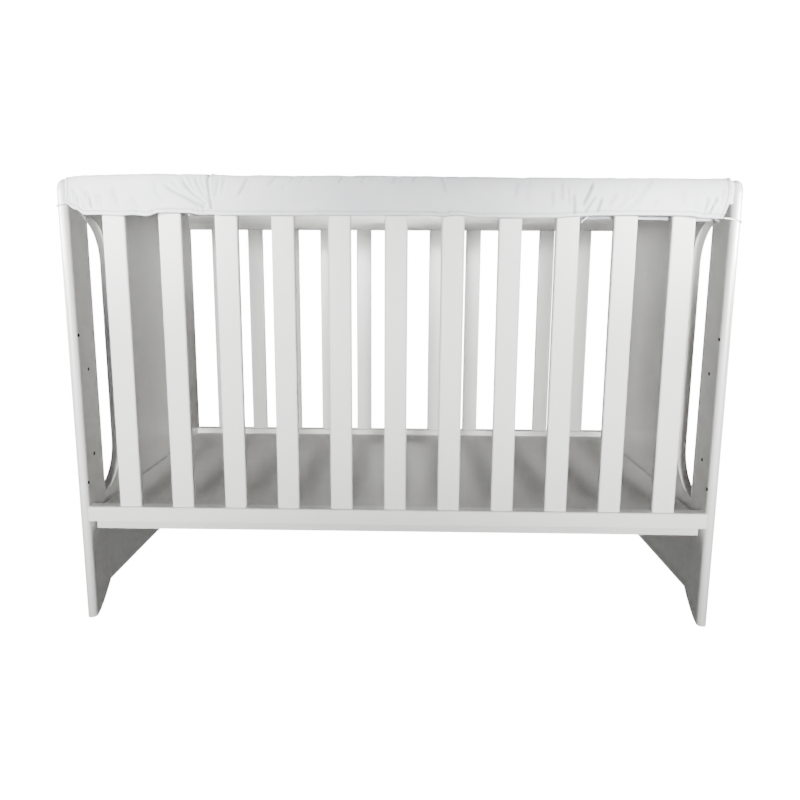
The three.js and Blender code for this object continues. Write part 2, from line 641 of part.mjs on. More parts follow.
addPart('rail_cover', coverGeometry(), COTTON);
addEndTies();
addRailTies();
addEnds();
addLongSide('front');
addLongSide('back');
addBase();
centreOnFloor();

export default crib;
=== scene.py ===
"""The finished look of a cloth rail cover on a plain white crib.

The tables are in millimetres, in the crib's own layout: X runs along the
rails, Y from the front faces of the front posts to the back, and Z up from
the floor. Every mesh is built in metres in the frame's own place. Lamps and
the threads and depths of a finish are given in metres.
"""

from __future__ import annotations

import logging
import math
from dataclasses import dataclass, field
from enum import Enum
from typing import Any, Iterable, Sequence, Union

import bpy
import numpy as np
from mathutils import Matrix, Vector, noise


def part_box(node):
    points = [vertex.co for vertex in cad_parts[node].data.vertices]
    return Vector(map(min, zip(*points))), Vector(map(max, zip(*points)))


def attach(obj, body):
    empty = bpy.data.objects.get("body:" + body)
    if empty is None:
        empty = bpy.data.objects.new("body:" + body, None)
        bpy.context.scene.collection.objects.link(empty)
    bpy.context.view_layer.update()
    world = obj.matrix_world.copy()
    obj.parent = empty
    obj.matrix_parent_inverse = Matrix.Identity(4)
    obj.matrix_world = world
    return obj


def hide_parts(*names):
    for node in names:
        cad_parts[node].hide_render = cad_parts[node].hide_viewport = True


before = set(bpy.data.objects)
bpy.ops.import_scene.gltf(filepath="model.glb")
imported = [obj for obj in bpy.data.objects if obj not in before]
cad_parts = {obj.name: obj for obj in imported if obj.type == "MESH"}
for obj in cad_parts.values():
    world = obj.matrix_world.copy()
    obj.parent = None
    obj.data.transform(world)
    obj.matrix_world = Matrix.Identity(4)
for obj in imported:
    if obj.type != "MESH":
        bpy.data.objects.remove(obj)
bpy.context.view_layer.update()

FRONT_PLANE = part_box("front_post_left")[0].y
MM = 0.001
ROOT = "root"

LOG = logging.getLogger("rail_cover")

Points = np.ndarray
Number = Union["Surface", float, int]
Colour = tuple[float, float, float, float]


def placed(points: Points) -> Points:
    """Moves points from the crib's layout in millimetres to the frame in metres.

    Args:
        points: Rows of X, Y and Z in millimetres.

    Returns:
        The same rows in metres.
    """
    moved = np.array(points, float) * MM
    moved[..., 1] += FRONT_PLANE
    return moved


def smooth(low: Points | float, high: Points | float, value: Points) -> Points:
    """Smooth step from 0 to 1 as value goes from low to high."""
    part = np.clip((value - low) / (high - low), 0, 1)
    return part * part * (3 - 2 * part)


def bell(value: Points, width: float) -> Points:
    """A bell curve of height 1 around zero."""
    return np.exp(-((value / width) ** 2))


class Shading:
    """One node tree, built node by node."""

    def __init__(self, tree: bpy.types.NodeTree) -> None:
        """Starts from an empty tree."""
        self.tree = tree
        tree.nodes.clear()

    def node(
        self,
        kind: str,
        settings: dict[str, Any] | None = None,
        sockets: dict[str | int, Any] | None = None,
    ) -> bpy.types.Node:
        """Adds a node.

        Args:
            kind: Blender's type of the node.
            settings: The node's own settings.
            sockets: Values or links of its sockets, by name or place.

        Returns:
            The new node.
        """
        node = self.tree.nodes.new(kind)
        for name, value in (settings or {}).items():
            setattr(node, name, value)
        for name, value in (sockets or {}).items():
            if isinstance(value, Surface):
                self.tree.links.new(value.socket, node.inputs[name])
            elif isinstance(value, bpy.types.NodeSocket):
                self.tree.links.new(value, node.inputs[name])
            else:
                node.inputs[name].default_value = value
        return node

    def value(self, kind: str, settings: dict[str, Any], sockets: dict[str | int, Any],
              output: str | int = 0) -> "Surface":
        """Adds a node and gives one of its outputs as a value."""
        return Surface(self, self.node(kind, settings, sockets).outputs[output])

    def place(self, scale: Sequence[float] = (1, 1, 1)) -> bpy.types.NodeSocket:
        """Places on the surface in metres, stretched by scale."""
        return self._stretched(self.node("ShaderNodeTexCoord").outputs["Object"], scale)

    def cut(self, scale: Sequence[float] = (1, 1, 1)) -> bpy.types.NodeSocket:
        """Places on the flat cut of a cloth in metres, stretched by scale."""
        return self._stretched(self.node("ShaderNodeUVMap", {"uv_map": "cut"}).outputs["UV"], scale)

    def _stretched(self, place: bpy.types.NodeSocket, scale: Sequence[float]) -> bpy.types.NodeSocket:
        """Stretches a place by scale."""
        sockets = {0: place, 1: tuple(scale)}
        return self.node("ShaderNodeVectorMath", {"operation": "MULTIPLY"}, sockets).outputs[0]

    def speckle(self, at: bpy.types.NodeSocket, scale: float, detail: float = 2.0,
                roughness: float = 0.5) -> "Surface":
        """Soft noise from 0 to 1."""
        return self.value(
            "ShaderNodeTexNoise",
            {"noise_dimensions": "3D"},
            {"Vector": at, "Scale": scale, "Detail": detail, "Roughness": roughness},
            "Fac",
        )

    def mark(self, name: str) -> "Surface":
        """A number stored at the mesh's points."""
        return self.value("ShaderNodeAttribute", {"attribute_name": name}, {}, "Fac")

    def mixed(self, mask: Number, first: Colour | bpy.types.NodeSocket,
              second: Colour | bpy.types.NodeSocket) -> bpy.types.NodeSocket:
        """Mixes two colours by a mask."""
        node = self.node("ShaderNodeMix", {"data_type": "RGBA"}, {0: mask, 6: first, 7: second})
        return node.outputs[2]

    def relief(self, height: "Surface", depth: float, strength: float = 1.0,
               over: bpy.types.NodeSocket | None = None) -> bpy.types.NodeSocket:
        """Gives a height field to a bump node.

        Args:
            height: The height, from 0 to 1.
            depth: What a height of 1 stands for, in metres.
            strength: How much of the bump shows.
            over: The normal that the bump is laid over, if any.

        Returns:
            The new normal.
        """
        sockets = {"Height": height, "Distance": depth, "Strength": strength}
        if over is not None:
            sockets["Normal"] = over
        return self.node("ShaderNodeBump", {}, sockets).outputs["Normal"]


@dataclass(frozen=True)
class Surface:
    """A number that changes over a surface, as one output socket."""

    shading: Shading
    socket: bpy.types.NodeSocket

    def _math(self, operation: str, *terms: Number) -> "Surface":
        """Adds a Math node on the terms."""
        return self.shading.value("ShaderNodeMath", {"operation": operation}, dict(enumerate(terms)))

    def __add__(self, other: Number) -> "Surface":
        """This plus other."""
        return self._math("ADD", self, other)

    def __radd__(self, other: Number) -> "Surface":
        """Other plus this."""
        return self._math("ADD", other, self)

    def __mul__(self, other: Number) -> "Surface":
        """This times other."""
        return self._math("MULTIPLY", self, other)

    def __rmul__(self, other: Number) -> "Surface":
        """Other times this."""
        return self._math("MULTIPLY", other, self)

    def sine(self) -> "Surface":
        """Sine of this."""
        return self._math("SINE", self)

    def between(self, low: float, high: float) -> "Surface":
        """Goes smoothly from 0 to 1 as this goes from low to high."""
        return self.shading.value(
            "ShaderNodeMapRange",
            {"interpolation_type": "SMOOTHSTEP"},
            {"Value": self, "From Min": low, "From Max": high},
        )


def new_material(name: str) -> tuple[bpy.types.Material, Shading]:
    """Makes an empty node material.

    Args:
        name: The material's name.

    Returns:
        The material and its node tree.
    """
    material = bpy.data.materials.new(name)
    material.use_nodes = True
    return material, Shading(material.node_tree)


def finish_with(shading: Shading, sockets: dict[str, Any]) -> None:
    """Adds the surface shader with these sockets and the output."""
    shader = shading.node("ShaderNodeBsdfPrincipled", {}, sockets)
    shading.node("ShaderNodeOutputMaterial", {}, {"Surface": shader.outputs[0]})


@dataclass(frozen=True)
class WovenCotton:
    """Plain-woven white cotton: threads, slubs and faint cloudiness."""

    name: str
    bright: Colour
    dull: Colour
    thread: float
    weave_depth: float
    on_cut: bool = True
    # Colour of the painted shade in creases, stitches, edges and along the front shoulder, laid where the
    # mesh's mark is high
    painted_shade: Colour | None = None
    sheen: float = 0.12
    slub: tuple[float, float] = (900.0, 60.0)
    cloud: tuple[float, float, float] = (9.0, 14.0, 9.0)
    crumple: tuple[float, float, float] = (75.0, 110.0, 75.0)
    crumple_depth: float = 0.0012

    def material(self) -> bpy.types.Material:
        """Builds the cotton's nodes.

        Returns:
            The material.
        """
        material, shading = new_material(self.name)
        where = shading.cut if self.on_cut else shading.place
        split = shading.node("ShaderNodeSeparateXYZ", {}, {0: where()})
        turns = 2 * math.pi / self.thread
        across = Surface(shading, split.outputs[0]) * turns
        along = Surface(shading, split.outputs[1]) * turns
        weave = across.sine() * along.sine() * 0.5 + 0.5
        fine, long = self.slub
        slub_warp = shading.speckle(where((fine, long, long)), 1.0, 3.0)
        slub_weft = shading.speckle(where((long, fine, long)), 1.0, 3.0)
        threads = weave * 0.6 + slub_warp * 0.5 + slub_weft * 0.5
        cloud = shading.speckle(where(self.cloud), 1.0, 4.0)
        tint = cloud.between(0.3, 0.75) * 0.75 + slub_warp * slub_weft * 0.35
        crumple = shading.speckle(where(self.crumple), 1.0, 4.0, 0.55)
        normal = shading.relief(crumple, self.crumple_depth, 0.35)
        normal = shading.relief(threads, self.weave_depth, 0.5, normal)
        colour = shading.mixed(tint, self.bright, self.dull)
        # Painted shade from the mesh's mark, made a little uneven by the slubs
        if self.painted_shade:
            shade_mask = shading.mark("painted_shade") * (0.85 + 0.3 * slub_warp)
            colour = shading.mixed(shade_mask, colour, self.painted_shade)
        finish_with(shading, {
            "Base Color": colour,
            "Roughness": 0.86 + 0.1 * slub_weft,
            "Normal": normal,
            "Sheen Weight": self.sheen,
            "Sheen Roughness": 0.6,
            "Specular IOR Level": 0.2,
        })
        return material


class Grain(Enum):
    """The way the wood under the paint runs, as stretch along X, Y and Z."""

    ALONG_RAIL = (3.0, 90.0, 90.0)
    UPRIGHT = (90.0, 90.0, 3.0)
    BOARD = (60.0, 14.0, 3.0)


@dataclass(frozen=True)
class WhitePaint:
    """White satin paint on wood, with faint grain and roller texture."""

    name: str
    bright: Colour
    dull: Colour
    grain: Grain
    roughness: float = 0.46
    coat: float = 0.06
    coat_roughness: float = 0.3
    cloud_scale: float = 4.0
    roller_scale: float = 700.0
    handling_scale: float = 22.0
    fibre_depth: float = 0.0005
    roller_depth: float = 0.00012

    def material(self) -> bpy.types.Material:
        """Builds the paint's nodes.

        Returns:
            The material.
        """
        material, shading = new_material(self.name)
        fibre = shading.speckle(shading.place(self.grain.value), 1.0, 5.0, 0.6)
        cloud = shading.speckle(shading.place((self.cloud_scale,) * 3), 1.0, 3.0)
        roller = shading.speckle(shading.place((self.roller_scale,) * 3), 1.0, 2.0)
        handling = shading.speckle(shading.place((self.handling_scale,) * 3), 1.0, 4.0).between(0.52, 0.8)
        tint = fibre.between(0.35, 0.8) * 0.35 + cloud.between(0.3, 0.8) * 0.5
        normal = shading.relief(fibre, self.fibre_depth, 0.22)
        normal = shading.relief(roller, self.roller_depth, 0.3, normal)
        finish_with(shading, {
            "Base Color": shading.mixed(tint, self.bright, self.dull),
            "Roughness": self.roughness + 0.1 * roller + 0.08 * handling,
            "Normal": normal,
            "Coat Weight": self.coat,
            "Coat Roughness": self.coat_roughness,
        })
        return material


@dataclass(frozen=True)
class PaintedBoreShade:
    """A flat disc painted with the shade of a small fixing hole's unlit inside."""

    name: str = "fixing_hole"
    # Painted shade of the hole's bore, with lighter specks of dust
    dark: Colour = (0.008, 0.008, 0.007, 1)
    dusty: Colour = (0.024, 0.023, 0.021, 1)
    dust_scale: float = 900.0

    def material(self) -> bpy.types.Material:
        """Builds the painted shade of the bore: a dull dark finish with a little dust.

        Returns:
            The material.
        """
        material, shading = new_material(self.name)
        dust = shading.speckle(shading.place((self.dust_scale,) * 3), 1.0, 3.0)
        finish_with(shading, {
            "Base Color": shading.mixed(dust, self.dark, self.dusty),
            "Roughness": 0.8 + 0.15 * dust,
            "Normal": shading.relief(dust, 0.0002, 0.4),
        })
        return material


@dataclass(frozen=True)
class StudioFloor:
    """The plain pale floor."""

    name: str = "studio_floor"
    bright: Colour = (0.42, 0.42, 0.42, 1)
    dull: Colour = (0.39, 0.39, 0.39, 1)
    cloud_scale: float = 1.5
    glow: float = 16.3

    def material(self) -> bpy.types.Material:
        """Builds a matt pale finish that looks white to the camera and throws no light.

        Returns:
            The material.
        """
        material, shading = new_material(self.name)
        cloud = shading.speckle(shading.place((self.cloud_scale,) * 3), 1.0, 3.0)
        seen = shading.node("ShaderNodeLightPath").outputs["Is Camera Ray"]
        finish_with(shading, {
            "Base Color": shading.mixed(cloud, self.bright, self.dull),
            "Roughness": 0.9 + 0.05 * cloud,
            "Emission Color": seen,
            "Emission Strength": self.glow,
        })
        return material


# The cover's third colour is the painted shade for creases, stitch grooves, edges and the front shoulder
COVER_COTTON = WovenCotton(
    "cover_cotton", (0.765, 0.772, 0.792, 1), (0.68, 0.69, 0.718, 1), 0.0011, 0.00025,
    painted_shade=(0.33, 0.34, 0.365, 1))
HEM_THREAD = WovenCotton(
    "hem_thread", (0.87, 0.87, 0.87, 1), (0.8, 0.8, 0.8, 1), 0.0005, 0.0001, on_cut=False)
TIE_COTTON = WovenCotton(
    "tie_cotton", (0.86, 0.86, 0.85, 1), (0.77, 0.77, 0.765, 1), 0.0008, 0.0002, on_cut=False)

WHITE = (0.815, 0.811, 0.788, 1)
OFF_WHITE = (0.77, 0.766, 0.74, 1)
RAIL_PAINT = WhitePaint("rail_paint", WHITE, OFF_WHITE, Grain.ALONG_RAIL)
SLAT_PAINT = WhitePaint("slat_paint", WHITE, OFF_WHITE, Grain.UPRIGHT)
END_PAINT = WhitePaint("end_board_paint", WHITE, OFF_WHITE, Grain.BOARD, 0.4, 1.0, 0.2)
BASE_PAINT = WhitePaint(
    "base_paint", (0.7, 0.695, 0.68, 1), (0.65, 0.645, 0.63, 1), Grain.ALONG_RAIL, 0.5, 0.02)


def linked(name: str, data: bpy.types.ID) -> bpy.types.Object:
    """Adds an object to the scene.

    Args:
        name: The object's name.
        data: Its mesh, curve, light or camera.

    Returns:
        The new object.
    """
    thing = bpy.data.objects.new(name, data)
    bpy.context.scene.collection.objects.link(thing)
    return thing


def add_piece(name: str, points: Points, faces: Iterable[Sequence[int]], material: bpy.types.Material,
              cut: Points | None = None) -> bpy.types.Object:
    """Makes a smooth-shaded mesh object.

    Args:
        name: The piece's name.
        points: Corners in the crib's layout, in millimetres.
        faces: Corner numbers of each face.
        material: The piece's finish.
        cut: Each corner's place on the flat cut, in millimetres, if it is cloth.

    Returns:
        The new object.
    """
    mesh = bpy.data.meshes.new(name)
    mesh.from_pydata(placed(points).tolist(), [], list(faces))
    mesh.polygons.foreach_set("use_smooth", [True] * len(mesh.polygons))
    mesh.materials.append(material)
    if cut is not None:
        layer = mesh.uv_layers.new(name="cut")
        corners = np.zeros(len(mesh.loops), np.int32)
        mesh.loops.foreach_get("vertex_index", corners)
        layer.uv.foreach_set("vector", (cut[corners] * MM).astype(np.float32).ravel())
    return linked(name, mesh)


def joined(meshes: Iterable[tuple[Points, list[tuple[int, ...]]]]) -> tuple[Points, list[tuple[int, ...]]]:
    """Joins meshes into one.

    Args:
        meshes: Points and faces of each mesh.

    Returns:
        Points and faces of them all.
    """
    points: list[Points] = []
    faces: list[tuple[int, ...]] = []
    total = 0
    for part, part_faces in meshes:
        points.append(part)
        faces += [tuple(total + k for k in face) for face in part_faces]
        total += len(part)
    return np.vstack(points), faces


def grid_faces(rows: int, columns: int, first: int = 0, closed: bool = False) -> list[tuple[int, ...]]:
    """Quads of a grid of points stored row by row.

    Args:
        rows: Number of rows.
        columns: Points in a row.
        first: Number of the first point.
        closed: Whether each row is a ring.

    Returns:
        The quads.
    """
    faces = []
    last = columns if closed else columns - 1
    for row in range(rows - 1):
        for column in range(last):
            after = (column + 1) % columns
            a = first + row * columns
            b = a + columns
            faces.append((a + column, b + column, b + after, a + after))
    return faces


# Points that a smooth line gets between two of its known points
PER_SPAN = 12


def rounded_path(points: Sequence[Sequence[float]], step: float) -> Points:
    """A smooth line through points, with even steps.

    Args:
        points: Points that the line passes.
        step: Distance between the new points.

    Returns:
        The new points.
    """
    known = np.array(points, float)
    ends = np.vstack([2 * known[0] - known[1], known, 2 * known[-1] - known[-2]])
    fine = []
    for i in range(1, len(ends) - 2):
        p0, p1, p2, p3 = ends[i - 1:i + 3]
        for t in np.linspace(0, 1, PER_SPAN, endpoint=False):
            fine.append(0.5 * (2 * p1 + (p2 - p0) * t + (2 * p0 - 5 * p1 + 4 * p2 - p3) * t * t
                               + (3 * p1 - p0 - 3 * p2 + p3) * t ** 3))
    fine.append(known[-1])
    fine = np.array(fine)
    along = np.concatenate([[0], np.cumsum(np.linalg.norm(np.diff(fine, axis=0), axis=1))])
    count = max(2, int(round(along[-1] / step)) + 1)
    at = np.linspace(0, along[-1], count)
    return np.stack([np.interp(at, along, fine[:, axis]) for axis in range(3)], axis=1)


@dataclass(frozen=True)
class Band:
    """The cross-section of a soft folded tie, as its width and thickness."""

    width: float
    thickness: float
    sides: int = 14
    roundness: float = 0.8

    def sweep(self, line: Points, up: Sequence[float],
              ends: float = 0.5) -> tuple[Points, list[tuple[int, ...]]]:
        """Runs the section along a line.

        Args:
            line: The line's points in millimetres.
            up: The direction that the width keeps to.
            ends: The size of the rounded tips, as a share of the section.

        Returns:
            Points and faces of the closed band.
        """
        tangent = np.gradient(line, axis=0)
        tangent /= np.linalg.norm(tangent, axis=1)[:, None]
        wide = np.array(up, float) - (tangent @ np.array(up, float))[:, None] * tangent
        wide /= np.linalg.norm(wide, axis=1)[:, None]
        thin = np.cross(tangent, wide)
        angle = np.arange(self.sides) / self.sides * 2 * math.pi
        section_wide = self.width / 2 * self._squared(np.cos(angle))
        section_thin = self.thickness / 2 * self._squared(np.sin(angle))
        size = np.ones(len(line))
        size[0] = size[-1] = ends
        rings = line[:, None, :] + size[:, None, None] * (
            section_wide[None, :, None] * wide[:, None, :] + section_thin[None, :, None] * thin[:, None, :])
        faces = grid_faces(len(line), self.sides, closed=True)
        total = len(line) * self.sides
        faces.append(tuple(range(self.sides)))
        faces.append(tuple(range(total - 1, total - self.sides - 1, -1)))
        return rings.reshape(-1, 3), faces

    def _squared(self, wave: Points) -> Points:
        """Makes a round section a little square."""
        return np.sign(wave) * np.abs(wave) ** self.roundness


# Cross-sections from left to right: place, hem in front, hem at the rear,
# top, bulge of the front face and sway of the front hem
SECTIONS = np.array([
    (-652.5, 881.5, 881.0, 934.0, 1.0, 0.0),
    (-634.0, 871.0, 872.0, 936.5, 2.5, 0.5),
    (-614.0, 860.4, 864.0, 937.5, 3.0, 0.8),
    (-585.0, 860.6, 864.0, 938.8, 3.2, 0.6),
    (-549.0, 858.6, 864.0, 940.2, 3.4, 1.8),
    (-518.0, 860.4, 864.0, 940.4, 3.4, 0.2),
    (-492.0, 858.2, 864.0, 940.6, 3.4, 1.8),
    (-466.0, 864.6, 864.5, 940.6, 3.2, 0.4),
    (-412.0, 864.6, 865.0, 940.5, 2.6, -0.4),
    (-386.0, 861.0, 865.0, 940.4, 1.8, -1.4),
    (-364.0, 861.8, 865.0, 940.2, 1.0, -2.2),
    (-346.0, 860.0, 865.0, 939.2, 1.8, -0.6),
    (-288.0, 860.0, 864.5, 937.8, 2.2, 0.0),
    (-189.0, 860.0, 864.0, 937.8, 2.0, 0.0),
    (-148.0, 860.6, 864.0, 938.0, 1.8, -1.2),
    (-91.0, 860.3, 864.0, 938.0, 2.0, 0.0),
    (8.0, 860.6, 864.0, 937.8, 2.0, 0.0),
    (66.0, 860.0, 864.0, 937.2, 2.0, 0.0),
    (92.0, 858.6, 864.0, 936.6, 2.0, -0.8),
    (117.0, 861.4, 864.0, 936.4, 2.0, 0.0),
    (162.0, 857.0, 863.0, 936.0, 2.2, 0.4),
    (242.0, 856.8, 862.0, 935.4, 2.2, 0.4),
    (312.0, 857.2, 860.5, 934.9, 2.0, 0.0),
    (345.0, 859.6, 859.5, 934.7, 1.4, -1.4),
    (397.0, 861.8, 858.4, 934.4, 2.0, 0.0),
    (493.0, 862.2, 857.2, 933.9, 2.2, 0.0),
    (566.0, 861.6, 855.4, 933.7, 2.2, 0.0),
    (594.0, 857.8, 853.8, 933.7, 2.0, 0.4),
    (646.0, 856.0, 854.0, 933.8, 1.0, 0.0),
])


@dataclass(frozen=True)
class Crease:
    """One crease: a soft trough along a line, with a ridge on its right.

    The line is given as places along the rail and heights on the cloth. A
    depth below zero is a ridge.
    """

    line: tuple[tuple[float, float], ...]
    depth: float
    width: float
    lift: float = 0.4
    fade: tuple[float, float] = (0.25, 0.25)
    ridge_place: float = 1.9
    ridge_width: float = 1.1

    def relief(self, x: Points, height: Points) -> Points:
        """How far the crease draws the cloth in.

        Args:
            x: Places along the rail.
            height: Heights on the cloth.

        Returns:
            Depths in millimetres, below zero on a ridge.
        """
        line = np.array(self.line)
        lengths = np.linalg.norm(np.diff(line, axis=0), axis=1)
        starts = np.concatenate([[0], np.cumsum(lengths)])
        nearest = np.full(x.shape, np.inf)
        side = np.zeros(x.shape)
        along = np.zeros(x.shape)
        for i, length in enumerate(lengths):
            run = (line[i + 1] - line[i]) / length
            dx = x - line[i, 0]
            dh = height - line[i, 1]
            part = dx * run[0] + dh * run[1]
            held = np.clip(part, 0, length)
            away = np.hypot(dx - held * run[0], dh - held * run[1])
            closer = away < nearest
            cross = dx * -run[1] + dh * run[0]
            nearest = np.where(closer, away, nearest)
            side = np.where(closer, np.sign(cross), side)
            along = np.where(closer, starts[i] + held, along)
        share = along / starts[-1]
        taper = smooth(0, self.fade[0], share) if self.fade[0] else np.ones(x.shape)
        if self.fade[1]:
            taper = taper * smooth(0, self.fade[1], 1 - share)
        across = nearest * side
        trough = bell(across, self.width)
        ridge = bell(across - self.ridge_place * self.width, self.ridge_width * self.width)
        return self.depth * taper * (trough - self.lift * ridge)


def front_creases() -> list[Crease]:
    """The creases that show on the front of the cover, each group from left to right.

    Returns:
        The creases of the face, of the two ends and of the lower hem.
    """
    # Fades: the share of its length over which a crease starts and ends
    full = (0.0, 0.12)
    pinch = (0.3, 0.1)
    short = (0.2, 0.1)
    seam = (0.25, 0.0)
    end = (0.4, 0.0)
    cut = (0.3, 0.0)
    return [
        Crease(((-640, 915), (-628, 896), (-620, 880)), 1.1, 5.0),
        Crease(((-612, 912), (-602, 888), (-597, 868)), 1.4, 5.0),
        Crease(((-586, 905), (-580, 886), (-578, 870)), 1.1, 5.0),
        Crease(((-558, 920), (-552, 898), (-545, 872)), 1.0, 6.0),
        Crease(((-520, 900), (-512, 884), (-505, 868)), 0.8, 5.0),
        Crease(((-476, 930), (-470, 905), (-455, 882)), 0.8, 5.0),
        Crease(((-466, 928), (-440, 908), (-405, 890), (-374, 872)), 2.1, 3.6, 0.6, pinch),
        Crease(((-444, 932), (-428, 912), (-398, 893), (-371, 875)), 1.5, 3.0, 0.6, pinch),
        Crease(((-424, 940), (-416, 922), (-403, 906), (-385, 891), (-370, 878)), 2.7, 3.0, 0.7, pinch),
        Crease(((-409, 934), (-399, 914), (-386, 898), (-370, 882)), 1.7, 2.6, 0.6, pinch),
        Crease(((-395, 940), (-390, 920), (-380, 902), (-368, 885)), 1.8, 2.4, 0.6, pinch),
        Crease(((-380, 926), (-376, 908), (-367, 888)), 1.4, 2.2, 0.5, pinch),
        Crease(((-367, 944), (-369, 928), (-367, 905), (-364, 884), (-363, 868)), 3.4, 2.9, 0.45, full),
        Crease(((-346, 936), (-350, 914), (-355, 889)), 1.5, 3.0, 0.5),
        Crease(((-334, 936), (-338, 920), (-342, 904)), 1.3, 3.0),
        Crease(((-289, 938), (-294, 924), (-303, 908), (-313, 893)), 2.4, 3.2, 0.7),
        Crease(((-234, 938), (-242, 926), (-251, 914)), 1.6, 3.2),
        Crease(((-219, 922), (-224, 908)), 0.9, 4.5),
        Crease(((-201, 938), (-208, 918)), 1.6, 2.3),
        Crease(((-192, 934), (-196, 920)), 1.3, 2.0),
        Crease(((-181, 938), (-189, 918)), 1.4, 2.2),
        Crease(((-164, 936), (-169, 919)), 1.1, 2.2),
        Crease(((-103, 940), (-108, 928), (-114, 918)), 2.3, 2.3, 0.7),
        Crease(((-96, 930), (-99, 916)), 1.1, 2.2),
        Crease(((-60, 936), (-70, 918)), 1.4, 2.5),
        Crease(((-48, 934), (-52, 922)), 0.9, 2.2),
        Crease(((2, 936), (-9, 918)), 1.4, 2.5),
        Crease(((12, 934), (8, 920)), 1.1, 2.2),
        Crease(((39, 938), (30, 920)), 1.6, 2.3),
        Crease(((86, 938), (92, 920), (99, 900)), 1.6, 2.7, 0.6),
        Crease(((237, 925), (234, 908), (230, 890)), 1.3, 3.4, 0.6),
        Crease(((262, 930), (256, 905), (254, 880)), 0.7, 6.0),
        Crease(((302, 912), (303, 896), (304, 874)), 1.3, 3.2, 0.5),
        Crease(((321, 926), (321, 908), (322, 886)), 1.4, 3.2, 0.5),
        Crease(((330, 918), (334, 900), (338, 876)), 1.3, 2.8, 0.4),
        Crease(((342, 906), (345, 888), (347, 866)), 2.4, 2.8, 0.5, seam),
        Crease(((382, 926), (374, 908), (366, 890), (361, 876)), 2.4, 3.0, 0.8),
        Crease(((386, 898), (376, 884), (366, 868)), 2.0, 2.4, 0.9, short),
        Crease(((398, 896), (394, 882), (390, 868)), 2.2, 2.6, 0.8, short),
        Crease(((428, 906), (420, 892), (411, 876)), 1.5, 3.4, 0.6),
        Crease(((452, 902), (438, 884), (424, 872)), 0.9, 4.0, 0.5),
        Crease(((464, 916), (458, 904), (454, 892)), 1.0, 4.0),
        Crease(((496, 934), (492, 922), (488, 910)), 0.9, 3.6),
        Crease(((507, 898), (502, 884), (500, 872)), 0.8, 4.0),
        Crease(((552, 912), (555, 896), (556, 878)), 0.9, 4.0),
        Crease(((598, 900), (602, 886), (600, 868)), 1.4, 3.0, 0.6),
        Crease(((622, 898), (614, 882), (606, 864)), 1.7, 2.8, 0.7, short),
        Crease(((614, 902), (619, 888), (622, 872)), 1.2, 3.0, 0.5),
        Crease(((632, 915), (628, 896), (630, 878)), 0.9, 4.0),
        Crease(((494, 928), (479, 907), (462, 884), (443, 868)), 1.0, 6.5, 0.6, (0.3, 0.3)),
        Crease(((450, 922), (445, 894)), 0.6, 4.0, 0.5, (0.3, 0.3)),
        Crease(((-642, 906), (-641, 893), (-640, 882)), 1.2, 1.9, 0.7, end),
        Crease(((-635, 898), (-633, 888), (-632, 878)), 1.0, 1.9, 0.7, end),
        Crease(((-629, 900), (-626, 886), (-624, 873)), 1.3, 2.0, 0.7, end),
        Crease(((-621, 904), (-616, 888), (-612, 873)), 1.2, 2.1, 0.7, end),
        Crease(((-613, 905), (-610, 888), (-607, 871)), 1.0, 2.1, 0.7, end),
        Crease(((-603, 901), (-601, 886), (-600, 872)), 1.1, 2.3, 0.7, (0.4, 0.1)),
        Crease(((-588, 899), (-587, 886), (-586, 873)), 0.8, 2.4, 0.6, (0.4, 0.1)),
        Crease(((579, 900), (580, 882), (579, 866)), 0.8, 2.6, 0.6, (0.4, 0.1)),
        Crease(((600, 893), (599, 878), (596, 863)), 1.2, 2.1, 0.7, end),
        Crease(((608, 888), (606, 876), (603, 863)), 1.2, 1.9, 0.7, end),
        Crease(((615, 893), (613, 879), (610, 866)), 1.1, 2.0, 0.7, end),
        Crease(((621, 878), (619, 869), (617, 860)), 1.0, 1.8, 0.7, end),
        Crease(((628, 884), (627, 872), (624, 860)), 0.9, 1.9, 0.7, end),
        Crease(((-516, 873), (-511, 866), (-508, 859)), 1.1, 2.2, 0.7, seam),
        Crease(((-498, 869), (-495, 859)), 0.8, 1.8, 0.7, cut),
        Crease(((-482, 873), (-479, 866), (-478, 859)), 1.2, 2.2, 0.7, seam),
        Crease(((-452, 872), (-447, 864)), 0.8, 2.0, 0.6, cut),
        Crease(((-402, 877), (-398, 871), (-397, 863)), 1.1, 2.0, 0.7, seam),
        Crease(((-391, 879), (-388, 870), (-388, 861)), 1.2, 1.9, 0.7, seam),
        Crease(((-380, 880), (-378, 871), (-379, 862)), 1.0, 1.8, 0.7, seam),
        Crease(((-354, 874), (-352, 862)), 0.8, 2.0, 0.6, cut),
        Crease(((-232, 873), (-226, 868), (-220, 860)), 0.7, 2.2, 0.6, cut),
        Crease(((-158, 876), (-152, 869), (-147, 861)), 1.1, 2.2, 0.7, seam),
        Crease(((-138, 875), (-142, 868), (-144, 861)), 0.8, 2.0, 0.6, seam),
        Crease(((66, 872), (78, 866), (92, 860)), 0.9, 2.2, 0.7, cut),
        Crease(((110, 876), (104, 868), (97, 860)), 1.0, 2.4, 0.7, cut),
    ]


